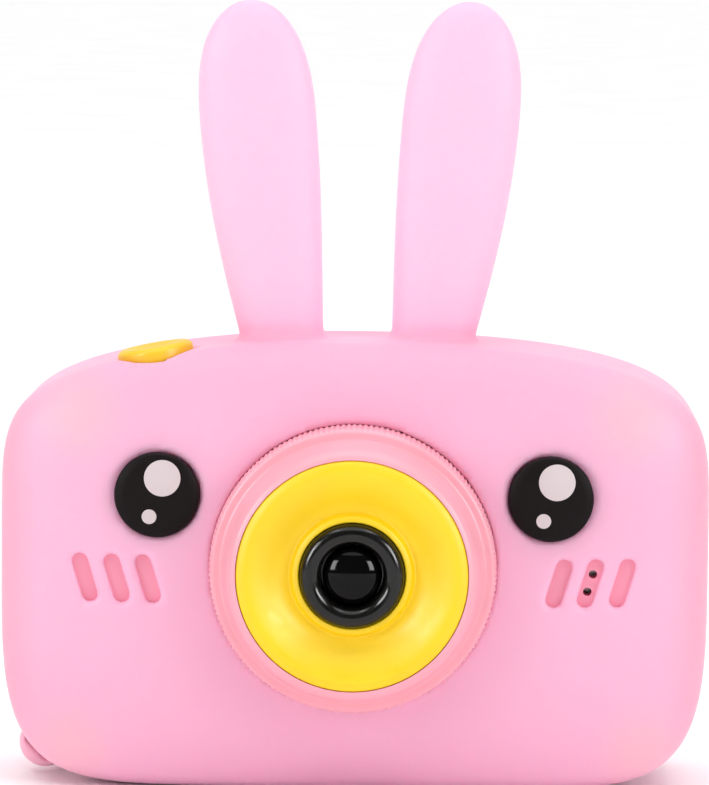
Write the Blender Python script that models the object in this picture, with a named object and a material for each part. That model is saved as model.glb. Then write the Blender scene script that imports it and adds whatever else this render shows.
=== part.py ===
"""A kids' digital camera in a silicone rabbit sleeve, standing on its flat underside.

Metres, +Z up. The lens looks along -Y and the screen faces +Y. The origin is the centre of the flat
underside, at the middle of the body's depth. Left and right are the viewer's, facing the lens.
"""

import math

import bmesh
import bpy
from mathutils import Matrix, Vector

MM = 0.001
GAP = 0.3 * MM  # kept between pieces that touch

# The body: a rounded box seen from the front, with its depth rounded off to a soft face.
BODY_WIDTH = 93.2 * MM
BODY_HEIGHT = 59 * MM
BODY_CENTRE_Z = BODY_HEIGHT / 2
FRONT_DEPTH = 16 * MM
REAR_DEPTH = 17 * MM
STRAIGHT_DEPTH = 6.5 * MM  # the side wall runs straight this far before and behind the middle
FRONT_ROUNDING = 3.0
REAR_ROUNDING = 5.0
UPPER_EXPONENTS = (2.3, 6.1)  # across and up, for the outline above its widest level
LOWER_EXPONENTS = (7.7, 3.7)
OUTLINE_SIDES = 40
ROUNDING_STEPS = 4
LAST_STEP_DEGREES = 82
CAVITY_SIDES = 28
CAVITY_STEPS = 4

# Cutters from the front run between these two.
FRONT_OF_ALL = -30 * MM
FRONT_INSIDE = -8 * MM

# How far each skin lies inside the sleeve's outside.
SLEEVE_WALL = 2.2 * MM
SHELL_WALL = 1.8 * MM
SHELL_INSET = SLEEVE_WALL + GAP
CAVITY_INSET = SHELL_INSET + SHELL_WALL
REAR_PANEL_Y = 13.5 * MM
CAVITY_REAR_Y = REAR_PANEL_Y - SHELL_WALL
PARTING_Y = 0.0

# Ears, one piece with the sleeve.
EAR_HEIGHT = 44.7 * MM
EAR_ROOT_DEPTH = 1.2 * MM
EAR_Y = 1.0 * MM
EAR_BASE_X = 10.05 * MM
EAR_LEAN = 0.150
EAR_LEAN_RECOVERY = 1.15  # per metre
EAR_BASE_HALF_WIDTH = 5.5 * MM
EAR_HALF_WIDTH = 7.74 * MM
EAR_WIDEST = 0.64
EAR_HALF_THICKNESS = 3.7 * MM
EAR_THINNING = 0.12  # how much of its thickness an ear loses on the way up
EAR_TIP_EXPONENTS = (2.6, 0.8)  # how the tip closes, in width and in thickness
EAR_SECTION_EXPONENT = 2.4
EAR_SIDES = 14

# The lens stack, turned about a line along Y.
LENS_Z = 30.5 * MM
LENS_BASE_Y = -FRONT_DEPTH + SHELL_INSET - GAP
RING_RADIUS = 18.65 * MM
RING_BORE = 15.05 * MM
FUNNEL_RADIUS = 14.75 * MM
FUNNEL_BORE = 7.1 * MM
BARREL_RADIUS = 6.8 * MM
GLASS_RADIUS = 3.6 * MM
RING_FRONT_Y = -24.5 * MM
KNURL_FRONT_Y = -20.0 * MM
FUNNEL_FRONT_Y = -24.9 * MM
BARREL_FRONT_Y = -25.0 * MM
GLASS_BACK_Y = -21.7 * MM
CAMERA_HOLE_RADIUS = 5.2 * MM  # in the front shell, for the barrel's rear end
BARREL_TAIL = (4.9 * MM, -13.0 * MM)  # radius, and where it ends

# Face details.
EYE_X = 25.6 * MM
EYE_Z = 39.7 * MM
EYE_RADIUS = 5.55 * MM
EYE_STEM_RADIUS = 2.5 * MM
EYE_STEM_END_Y = -13.2 * MM
EYE_POCKET_Y = -14.4 * MM  # the cap sits in a shallow pocket in the sleeve
SLOT_PLACES_X = (26.8 * MM, 30.9 * MM, 35.1 * MM)
SLOT_Z = 28.5 * MM
SLOT_LENGTH = 6.6 * MM
SLOT_WIDTH = 2.1 * MM
SLOT_TILT = math.radians(17)
SLOT_PAD_TOPS = (-14.2 * MM, -13.8 * MM, -13.2 * MM)  # raised pads of the front shell in the slots
SLOT_PAD_BASE_Y = -11.6 * MM
MICROPHONE_X = SLOT_PLACES_X[1]
MICROPHONE_HOLE_RADIUS = 0.58 * MM
MICROPHONE_HOLE_LEVELS = (-1.15 * MM, 1.15 * MM)

# Shutter button, square to the sloping top.
SHUTTER_PLACE = (-26.5 * MM, -5 * MM, 57.2 * MM)
SHUTTER_TILT = math.radians(-10.5)
SHUTTER_RADIUS = 5.0 * MM
SHUTTER_STEM_RADIUS = 2.2 * MM
SHUTTER_STEM_ROOM = 0.4 * MM

# Rear panel.
SCREEN_X = 9.7 * MM
SCREEN_Z = BODY_CENTRE_Z
WINDOW_SIZE = (46 * MM, 36 * MM)
WINDOW_CORNER = 3.5 * MM
SCREEN_OPENING = (41.5 * MM, 31.5 * MM)
LCD_SIZE = (45 * MM, 34 * MM)
PAD_X = -25.5 * MM
PAD_Z = 26.5 * MM
PAD_INNER_RADIUS = 4.9 * MM
PAD_OUTER_RADIUS = 9.6 * MM
PAD_HALF_ANGLE = math.radians(35)
OK_RADIUS = 3.3 * MM
SMALL_BUTTON_RADIUS = 2.4 * MM
SMALL_BUTTON_Z = 41 * MM
SMALL_BUTTON_X = (-32.5 * MM, -18.5 * MM)
SELFIE_Z = 44.9 * MM
SELFIE_RADIUS = 3.6 * MM
SPEAKER_Z = 12.1 * MM
SPEAKER_SLOT_PITCH = 2.4 * MM
BUTTON_CLEARANCE = 0.35 * MM
REAR_OPENING = (40.2 * MM, 23.3 * MM)  # half sizes of the opening in the sleeve's back

# Boards and fasteners.
BOARD_FRONT_Y = 4.4 * MM
BOARD_REAR_Y = 5.6 * MM
BOARD_LEFT_X = -38 * MM
BOARD_RIGHT_X = 40.6 * MM
BOARD_HALF_HEIGHT = 20.5 * MM
BOARD_CORNER = 8 * MM
CASE_SCREW_X = 35.7 * MM
CASE_SCREW_LEVELS = (-18.6 * MM, 16.5 * MM)  # from the body's centre
CASE_COLUMN_RADIUS = 2.7 * MM
CASE_WELL_RADIUS = 2.1 * MM
CASE_BOSS_RADIUS = 2.2 * MM
CASE_BOSS_Y = -10.2 * MM
CASE_PILOT_RADIUS = 1.25 * MM
CASE_SCREW_TIP_Y = -6.8 * MM
CASE_SCREW_SEAT_Y = 8.2 * MM
BOARD_SCREW_X = 8 * MM
BOARD_SCREW_Z = 17 * MM
BOARD_POST_RADIUS = 1.9 * MM
BOARD_POST_Y = -12.2 * MM
BOARD_PILOT_RADIUS = 1.1 * MM
BOARD_SCREW_TIP_Y = -2.4 * MM
BATTERY_X = (-37 * MM, -12 * MM)
BATTERY_Y = (-2.8 * MM, 3.2 * MM)
BATTERY_LEVELS = (-15.2 * MM, 13.2 * MM)  # from the body's centre
SPEAKER_HALF_SIZE = (5.9 * MM, 3.7 * MM)
SPEAKER_Y = (7.6 * MM, 10.5 * MM)
SHUTTER_BOARD_SIZE = (10 * MM, 7 * MM)
SHUTTER_BOARD_LEVELS = (-11.3 * MM, -10.3 * MM)  # along the shutter button's axis
SHUTTER_SWITCH_SIZE = 4.4 * MM
SHUTTER_SWITCH_LEVELS = (-10 * MM, -9.4 * MM)

# Ports on the right-hand side.
PORT_Y = 2.8 * MM
USB_Z = 36.3 * MM
CARD_Z = 20.5 * MM
USB_PLUG = (3.7 * MM, 8.6 * MM)  # the hole for a plug, in Y and Z
CARD_MOUTH = (1.9 * MM, 12.2 * MM)
CARD_Y = (2.4 * MM, 3.4 * MM)
SOCKET_X = (26.1 * MM, 40.3 * MM)
SOCKET_Y = (1.7 * MM, 4.1 * MM)
USB_X = (36.3 * MM, 41.7 * MM)
USB_Y = (1.5 * MM, 4.1 * MM)
USB_HALF_HEIGHT = 3.75 * MM
SIDE_INNER_X = 40 * MM  # the side cutters run between these two
SIDE_OUTER_X = 52 * MM
COVER_HINGE = Vector((46.0 * MM, PORT_Y, 41.2 * MM))
EYELET_CENTRE = Vector((-41.6 * MM, 0, 4.7 * MM))
EYELET_ANGLE = math.radians(225)  # the eyelet points down and out from the corner
EYELET_HALF_THICKNESS = 1.5 * MM
EYELET_RADIUS = 3.4 * MM
EYELET_LOOP_X = 0.2 * MM
EYELET_SLOT_X = 1.25 * MM
EYELET_SLOT_SIZE = (4.4 * MM, 1.1 * MM)

FINISHES = {  # sRGB colour, roughness, metallic
    "sleeve_silicone": ((254, 190, 217), 0.55, 0.0),
    "pink_plastic": ((255, 170, 186), 0.35, 0.0),
    "yellow_plastic": ((250, 214, 40), 0.3, 0.0),
    "black_gloss": ((22, 22, 22), 0.12, 0.0),
    "lens_glass": ((10, 10, 12), 0.03, 0.0),
    "eye_black": ((36, 30, 30), 0.45, 0.0),
    "screen_glass": ((16, 17, 20), 0.06, 0.0),
    "display_grey": ((70, 74, 80), 0.4, 0.0),
    "board_green": ((24, 96, 60), 0.45, 0.0),
    "chip_black": ((28, 28, 30), 0.5, 0.0),
    "steel": ((190, 190, 192), 0.3, 1.0),
    "battery_foil": ((180, 184, 190), 0.35, 0.6),
    "foam_grey": ((84, 86, 90), 0.9, 0.0),
    "switch_white": ((226, 224, 216), 0.5, 0.0),
    "wire_red": ((190, 30, 34), 0.5, 0.0),
    "wire_black": ((24, 24, 26), 0.5, 0.0),
    "ribbon_amber": ((196, 128, 44), 0.4, 0.0),
}


# ---- helpers -------------------------------------------------------------------------------------


def linear(channel):
    """One sRGB channel, 0 to 255, as scene-linear light."""
    share = channel / 255
    return share / 12.92 if share <= 0.04045 else ((share + 0.055) / 1.055) ** 2.4


def finish_material(name):
    """The material of that name, made the first time it is asked for."""
    found = bpy.data.materials.get(name)
    if found:
        return found
    colour, roughness, metallic = FINISHES[name]
    made = bpy.data.materials.new(name)
    made.use_nodes = True
    shader = made.node_tree.nodes["Principled BSDF"]
    shader.inputs["Base Color"].default_value = (*map(linear, colour), 1)
    shader.inputs["Roughness"].default_value = roughness
    shader.inputs["Metallic"].default_value = metallic
    return made


def placed(name, shape, finish, location=(0, 0, 0), tilt=0.0):
    """An object made from a bmesh, turned about Y by tilt."""
    bmesh.ops.recalc_face_normals(shape, faces=shape.faces)
    mesh = bpy.data.meshes.new(name)
    shape.to_mesh(mesh)
    shape.free()
    mesh.shade_smooth()
    mesh.set_sharp_from_angle(angle=math.radians(35))
    thing = bpy.data.objects.new(name, mesh)
    bpy.context.scene.collection.objects.link(thing)
    thing.location = location
    thing.rotation_euler = (0, tilt, 0)
    if finish:
        mesh.materials.append(finish_material(finish))
    return thing


def helper(thing):
    """Marks a cutter, or a piece that another object takes in, so that it isn't a part itself."""
    thing.hide_render = True
    thing.display_type = "WIRE"
    return thing


def combine(target, operation, *others):
    """Boolean modifiers on target, one for each of the other objects, which become helpers."""
    bpy.context.view_layer.update()
    for other in others:
        modifier = target.modifiers.new(f"{operation.lower()} {other.name}", "BOOLEAN")
        modifier.operation = operation
        modifier.object = helper(other)


def cut(target, *others):
    combine(target, "DIFFERENCE", *others)


def join(target, *others):
    combine(target, "UNION", *others)


def loft(name, rings, finish=None, location=(0, 0, 0), tilt=0.0):
    """A solid skinned over rings of the same number of points, with flat ends."""
    shape = bmesh.new()
    loops = [[shape.verts.new(point) for point in ring] for ring in rings]
    for first, second in zip(loops, loops[1:]):
        for i, corner in enumerate(first):
            j = (i + 1) % len(first)
            shape.faces.new((corner, first[j], second[j], second[i]))
    shape.faces.new(loops[0])
    shape.faces.new(loops[-1])
    return placed(name, shape, finish, location, tilt)


def turned(name, profile, finish=None, location=(0, 0, 0), tilt=0.0, sides=40, upright=False):
    """A turned solid. The profile is (radius, distance along the axis) from axis to axis, or closes
    on itself around a bore. The axis is Y, or Z if it is upright."""
    shape = bmesh.new()
    points = [
        shape.verts.new((radius, 0, along) if upright else (radius, along, 0))
        for radius, along in profile
    ]
    edges = [shape.edges.new(pair) for pair in zip(points, points[1:])]
    if profile[0][0] > 0:
        edges.append(shape.edges.new((points[-1], points[0])))
    axis = (0, 0, 1) if upright else (0, 1, 0)
    bmesh.ops.spin(
        shape, geom=points + edges, cent=(0, 0, 0), axis=axis, angle=math.tau, steps=sides, use_merge=True
    )
    bmesh.ops.remove_doubles(shape, verts=shape.verts, dist=1e-7)
    return placed(name, shape, finish, location, tilt)


def rod(name, radius, start, end, finish=None, location=(0, 0, 0), tilt=0.0, sides=24, upright=False):
    """A plain cylinder between two distances along its axis."""
    profile = [(0, start), (radius, start), (radius, end), (0, end)]
    return turned(name, profile, finish, location, tilt, sides, upright)


def block(name, low, high, finish=None, bevel=0.0):
    """A box between two corners, with its origin at its centre."""
    low, high = Vector(low), Vector(high)
    shape = bmesh.new()
    bmesh.ops.create_cube(shape, size=1, matrix=Matrix.Diagonal((*(high - low), 1)))
    if bevel:
        bmesh.ops.bevel(shape, geom=shape.edges, offset=bevel, segments=1, affect="EDGES")
    return placed(name, shape, finish, (low + high) / 2)


def slab(name, outline, front, rear, finish=None, location=(0, 0, 0), tilt=0.0):
    """An outline of (x, z) points, extruded along Y."""
    rings = [[(x, y, z) for x, z in outline] for y in (front, rear)]
    return loft(name, rings, finish, location, tilt)


def rounded_rectangle(width, height, radius, steps=4):
    """The outline of a rectangle with round corners, centred on the origin."""
    points = []
    for k, (side_x, side_z) in enumerate(((1, 1), (-1, 1), (-1, -1), (1, -1))):
        for step in range(steps + 1):
            angle = math.radians(90) * (k + step / steps)
            points.append(
                (
                    side_x * (width / 2 - radius) + radius * math.cos(angle),
                    side_z * (height / 2 - radius) + radius * math.sin(angle),
                )
            )
    return points


def pill(length, width, steps=6):
    """An upright outline with two round ends."""
    return rounded_rectangle(width, length, width / 2 - 1e-6, steps)


def turn_about_y(points, angle):
    """(x, z) points turned so that a positive angle leans their top towards +X."""
    c, s = math.cos(angle), math.sin(angle)
    return [(x * c + z * s, z * c - x * s) for x, z in points]


# ---- the body's skins ----------------------------------------------------------------------------


def outline_reach(angle):
    """How far the body's outline reaches in one direction, where 1 is half its width or height."""
    across, up = abs(math.cos(angle)), abs(math.sin(angle))
    power_x, power_z = UPPER_EXPONENTS if math.sin(angle) >= 0 else LOWER_EXPONENTS
    low, high = 0.5, 1.5
    for _ in range(40):
        middle = (low + high) / 2
        if (middle * across) ** power_x + (middle * up) ** power_z > 1:
            high = middle
        else:
            low = middle
    return low


def body_outline(half_width, half_height, sides=OUTLINE_SIDES):
    """The body's outline at a given half width and height, about its own centre."""
    angles = [math.tau * k / sides for k in range(sides)]
    return [
        (
            half_width * outline_reach(angle) * math.cos(angle),
            half_height * outline_reach(angle) * math.sin(angle),
        )
        for angle in angles
    ]


def pillow(name, inset, finish=None, rear_limit=1.0, sides=OUTLINE_SIDES, steps=ROUNDING_STEPS):
    """The body's solid shape, inset all round. rear_limit flattens its back at that Y."""
    outline = body_outline(BODY_WIDTH / 2 - inset, BODY_HEIGHT / 2 - inset, sides)
    angles = [math.radians(LAST_STEP_DEGREES) * k / steps for k in range(steps + 1)]
    stations = []
    for side, depth, power in ((-1, FRONT_DEPTH, FRONT_ROUNDING), (1, REAR_DEPTH, REAR_ROUNDING)):
        reach = depth - inset - STRAIGHT_DEPTH
        half = [
            (
                min(side * (STRAIGHT_DEPTH + reach * math.sin(angle) ** (2 / power)), rear_limit),
                math.cos(angle) ** (2 / power),
            )
            for angle in angles
        ]
        stations += half[::-1] if side < 0 else half
    rings = [[(x * share, y, z * share) for x, z in outline] for y, share in stations]
    return loft(name, rings, finish, (0, 0, BODY_CENTRE_Z))


def ear(name, side):
    """One ear: an oval section that widens, leans outwards and closes in a round tip."""
    heights = [-EAR_ROOT_DEPTH / EAR_HEIGHT, 0.1, 0.24, 0.42, EAR_WIDEST]
    heights += [EAR_WIDEST + (1 - EAR_WIDEST) * math.sin(math.radians(a)) for a in (24, 43, 60, 75, 87)]
    rings = []
    for share in heights:
        height = share * EAR_HEIGHT
        if share < EAR_WIDEST:
            swell = math.sin(math.radians(90) * max(share, 0) / EAR_WIDEST)
            half_width = EAR_BASE_HALF_WIDTH + (EAR_HALF_WIDTH - EAR_BASE_HALF_WIDTH) * swell
            closing = 1.0
        else:
            closing = (1 - ((share - EAR_WIDEST) / (1 - EAR_WIDEST)) ** EAR_TIP_EXPONENTS[0]) ** 0.5
            half_width = EAR_HALF_WIDTH * closing
        half_thickness = EAR_HALF_THICKNESS * (1 - EAR_THINNING * share) * closing ** EAR_TIP_EXPONENTS[1]
        centre = EAR_BASE_X + EAR_LEAN * height - EAR_LEAN_RECOVERY * height * height
        ring = []
        for k in range(EAR_SIDES):
            angle = math.tau * k / EAR_SIDES
            c, s = math.cos(angle), math.sin(angle)
            power = 2 / EAR_SECTION_EXPONENT
            x = side * (centre + half_width * math.copysign(abs(c) ** power, c))
            y = EAR_Y + half_thickness * math.copysign(abs(s) ** power, s)
            ring.append((x, y, BODY_HEIGHT + height))
        rings.append(ring)
    return loft(name, rings)


def cheek_slots(front, rear, grow=0.0):
    """Cutters for the three slanted slots on each cheek."""
    outline = pill(SLOT_LENGTH + 2 * grow, SLOT_WIDTH + 2 * grow)
    cutters = []
    for side in (-1, 1):
        for x in SLOT_PLACES_X:
            leaning = turn_about_y(outline, side * SLOT_TILT)
            cutters.append(slab(f"slot_{side}_{x:.4f}", leaning, front, rear, None, (side * x, 0, SLOT_Z)))
    return cutters


def slot_pads():
    """Raised pads of the front shell that stand in the cheek slots."""
    outline = pill(SLOT_LENGTH - 2 * GAP, SLOT_WIDTH - 2 * GAP)
    pads = []
    for side in (-1, 1):
        for x, top in zip(SLOT_PLACES_X, SLOT_PAD_TOPS):
            leaning = turn_about_y(outline, side * SLOT_TILT)
            place = (side * x, 0, SLOT_Z)
            pads.append(slab(f"slot_pad_{side}_{x:.4f}", leaning, top, SLOT_PAD_BASE_Y, None, place))
    return pads


def eyelet_notch(grow):
    """The space that the lanyard eyelet takes in the lower left corner."""
    half = 3.3 * MM + grow
    notch = block("eyelet_notch", (-8 * MM, -1.6 * MM - grow, -half), (5 * MM, 1.6 * MM + grow, half))
    notch.location = EYELET_CENTRE
    notch.rotation_euler = (0, math.radians(-45), 0)
    return notch


def port_cutters(name):
    """Cutters in the right-hand side for the USB port and the card slot, at their plug sizes."""
    usb = rounded_rectangle(*USB_PLUG, 1.2 * MM)
    card = rounded_rectangle(*CARD_MOUTH, 0.7 * MM)
    cutters = []
    for label, outline, z in (("usb", usb, USB_Z), ("card", card, CARD_Z)):
        rings = [[(x, PORT_Y + y, z + up) for y, up in outline] for x in (SIDE_INNER_X, SIDE_OUTER_X)]
        cutters.append(loft(f"{name}_{label}_hole", rings))
    return cutters


def side_opening(name, width, height, corner, z):
    """A cutter with round corners that runs into the right-hand side along X."""
    outline = rounded_rectangle(width, height, corner)
    rings = [[(x, PORT_Y + y, z + up) for y, up in outline] for x in (SIDE_INNER_X, SIDE_OUTER_X)]
    return loft(name, rings)


def shutter_rod(name, radius, start):
    """A cutter along the shutter button's axis, from some way down to clear of the body."""
    return rod(name, radius, start, 6 * MM, None, SHUTTER_PLACE, SHUTTER_TILT, 20, True)


# ---- sleeve and shells ---------------------------------------------------------------------------


def silicone_sleeve():
    sleeve = pillow("silicone_sleeve", 0, "sleeve_silicone")
    join(sleeve, ear("ear_left", -1), ear("ear_right", 1))
    cut(sleeve, pillow("sleeve_inside", SLEEVE_WALL))
    opening = RING_RADIUS + 0.35 * MM
    cut(sleeve, rod("lens_opening", opening, FRONT_OF_ALL, FRONT_INSIDE, None, (0, 0, LENS_Z), sides=40))
    rear = slab("screen_side_opening", body_outline(*REAR_OPENING, 40), 8 * MM, 30 * MM)
    rear.location = (0, 0, BODY_CENTRE_Z)
    cut(sleeve, rear)
    cut(sleeve, *cheek_slots(FRONT_OF_ALL, FRONT_INSIDE))
    for side in (-1, 1):
        seat = [(0, FRONT_OF_ALL), (EYE_RADIUS + GAP, FRONT_OF_ALL), (EYE_RADIUS + GAP, EYE_POCKET_Y)]
        stem_room = EYE_STEM_RADIUS + GAP
        seat += [(stem_room, EYE_POCKET_Y), (stem_room, FRONT_INSIDE), (0, FRONT_INSIDE)]
        cut(sleeve, turned(f"eye_seat_{side}", seat, None, (side * EYE_X, 0, EYE_Z), sides=24))
    cut(sleeve, shutter_rod("shutter_opening", SHUTTER_RADIUS + BUTTON_CLEARANCE, -5 * MM))
    cut(sleeve, side_opening("usb_window", 8 * MM, 14.8 * MM, 2 * MM, USB_Z + 0.2 * MM))
    cut(sleeve, side_opening("card_window", 6 * MM, 14.4 * MM, 2.4 * MM, CARD_Z))
    cut(sleeve, eyelet_notch(0.7 * MM))
    return sleeve


def screw_places():
    """The four case screws, as (x, z)."""
    return [(side * CASE_SCREW_X, BODY_CENTRE_Z + level) for side in (-1, 1) for level in CASE_SCREW_LEVELS]


def board_screw_places():
    return [(BOARD_SCREW_X, BODY_CENTRE_Z + level * BOARD_SCREW_Z) for level in (-1, 1)]


def half_space(name, front, rear):
    """A box wider than the body, for trimming a skin to a range of Y."""
    return block(name, (-80 * MM, front, -40 * MM), (80 * MM, rear, 120 * MM))


def front_shell():
    shell = pillow("front_shell", SHELL_INSET, "pink_plastic")
    cut(shell, pillow("front_cavity", CAVITY_INSET, sides=CAVITY_SIDES, steps=CAVITY_STEPS))
    for k, (x, z) in enumerate(screw_places()):
        join(shell, rod(f"case_boss_{k}", CASE_BOSS_RADIUS, CASE_BOSS_Y, 2 * MM, None, (x, 0, z), sides=12))
    for k, (x, z) in enumerate(board_screw_places()):
        top = BOARD_FRONT_Y - GAP
        join(shell, rod(f"board_post_{k}", BOARD_POST_RADIUS, BOARD_POST_Y, top, None, (x, 0, z), sides=12))
    join(shell, *slot_pads())
    trim = half_space("front_trim", PARTING_Y - GAP / 2, 40 * MM)
    for k, (x, z) in enumerate(board_screw_places()):
        room = BOARD_POST_RADIUS + 0.7 * MM
        cut(trim, rod(f"post_room_{k}", room, -5 * MM, 10 * MM, None, (x, 0, z), sides=12))
    cut(shell, trim)
    cut(shell, rod("lens_hole", CAMERA_HOLE_RADIUS, -20 * MM, FRONT_INSIDE, None, (0, 0, LENS_Z), sides=24))
    for k, (x, z) in enumerate(screw_places()):
        cut(shell, rod(f"case_pilot_{k}", CASE_PILOT_RADIUS, -7.5 * MM, 4 * MM, None, (x, 0, z), sides=10))
    for k, (x, z) in enumerate(board_screw_places()):
        cut(shell, rod(f"board_pilot_{k}", BOARD_PILOT_RADIUS, -3 * MM, 6 * MM, None, (x, 0, z), sides=10))
    for k, level in enumerate(MICROPHONE_HOLE_LEVELS):
        place = (MICROPHONE_X + math.tan(SLOT_TILT) * level, 0, SLOT_Z + level)
        radius = MICROPHONE_HOLE_RADIUS
        cut(shell, rod(f"sound_hole_{k}", radius, -20 * MM, FRONT_INSIDE, None, place, sides=10))
    for side in (-1, 1):
        room = rod(f"eye_stem_room_{side}", EYE_STEM_RADIUS + GAP, FRONT_OF_ALL, -12.9 * MM, sides=16)
        room.location = (side * EYE_X, 0, EYE_Z)
        cut(shell, room)
    cut(shell, shutter_rod("stem_hole", SHUTTER_STEM_RADIUS + SHUTTER_STEM_ROOM, -9 * MM))
    cut(shell, eyelet_notch(GAP))
    return shell


def pad_outline(direction, grow=0.0):
    """The (x, z) outline of one curved button of the four-way pad, about the pad's centre."""
    half = PAD_HALF_ANGLE
    outer, inner = PAD_OUTER_RADIUS + grow, PAD_INNER_RADIUS - grow
    spread = [k / 2 - 1 for k in range(5)]
    points = [(outer, share * (half + grow / outer)) for share in spread]
    points += [(inner, share * (half + grow / inner)) for share in reversed(spread)]
    return [(r * math.cos(direction + a), r * math.sin(direction + a)) for r, a in points]


def disc_outline(radius, sides):
    angles = [math.tau * k / sides for k in range(sides)]
    return [(radius * math.cos(angle), radius * math.sin(angle)) for angle in angles]


def rear_buttons():
    """Name, centre (x, z) and outline maker of every button on the rear panel. A maker takes how far
    to grow the outline. Right-hand names are the user's, who faces the screen and sees +X on the left."""
    pad = (PAD_X, PAD_Z)
    directions = {"right": math.radians(180), "up": math.radians(90), "left": 0.0, "down": math.radians(270)}
    buttons = [
        (f"{name}_button", pad, lambda grow, angle=angle: pad_outline(angle, grow))
        for name, angle in directions.items()
    ]
    buttons.append(("ok_button", pad, lambda grow: disc_outline(OK_RADIUS + grow, 20)))
    for name, x in zip(("power_button", "mode_button"), SMALL_BUTTON_X):
        place = (x, SMALL_BUTTON_Z)
        buttons.append((name, place, lambda grow: disc_outline(SMALL_BUTTON_RADIUS + grow, 16)))
    return buttons


def rear_shell():
    shell = pillow("rear_shell", SHELL_INSET, "pink_plastic", REAR_PANEL_Y)
    cut(shell, pillow("rear_cavity", CAVITY_INSET, None, CAVITY_REAR_Y, CAVITY_SIDES, CAVITY_STEPS))
    for k, (x, z) in enumerate(screw_places()):
        column = rod(f"screw_column_{k}", CASE_COLUMN_RADIUS, -2 * MM, 12.4 * MM, None, (x, 0, z), sides=14)
        join(shell, column)
    cut(shell, half_space("rear_trim", -40 * MM, PARTING_Y + GAP / 2))
    outside = 20 * MM
    for k, (x, z) in enumerate(screw_places()):
        well = [(0, -6 * MM), (CASE_PILOT_RADIUS, -6 * MM), (CASE_PILOT_RADIUS, CASE_SCREW_SEAT_Y)]
        well += [(CASE_WELL_RADIUS, CASE_SCREW_SEAT_Y), (CASE_WELL_RADIUS, outside), (0, outside)]
        cut(shell, turned(f"screw_well_{k}", well, None, (x, 0, z), sides=12))
    place = (SCREEN_X, 0, SCREEN_Z)
    pocket = rounded_rectangle(WINDOW_SIZE[0] + 2 * GAP, WINDOW_SIZE[1] + 2 * GAP, WINDOW_CORNER + GAP)
    cut(shell, slab("window_pocket", pocket, REAR_PANEL_Y - 1.2 * MM, outside, None, place))
    opening = rounded_rectangle(*SCREEN_OPENING, 1 * MM, 2)
    inside = 10 * MM
    cut(shell, slab("screen_opening", opening, inside, outside, None, place))
    for name, (x, z), outline in rear_buttons():
        cut(shell, slab(f"{name}_hole", outline(BUTTON_CLEARANCE), inside, outside, None, (x, 0, z)))
    bore, seat_y = SELFIE_RADIUS - 1 * MM, 12.3 * MM
    selfie = [(0, inside), (bore, inside), (bore, seat_y)]
    selfie += [(SELFIE_RADIUS + GAP, seat_y), (SELFIE_RADIUS + GAP, outside), (0, outside)]
    cut(shell, turned("selfie_hole", selfie, None, (PAD_X, 0, SELFIE_Z), sides=20))
    for k in range(5):
        place = (PAD_X + (k - 2) * SPEAKER_SLOT_PITCH, 0, SPEAKER_Z)
        cut(shell, slab(f"speaker_slot_{k}", pill(4.4 * MM, 1.1 * MM, 2), inside, outside, None, place))
    cut(shell, *port_cutters("rear"))
    cut(shell, side_opening("anchor_hole", 2.6 * MM, 1.6 * MM, 0.4 * MM, USB_Z + 6.3 * MM))
    cut(shell, eyelet_notch(GAP))
    return shell


# ---- lens and eyes -------------------------------------------------------------------------------


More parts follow.
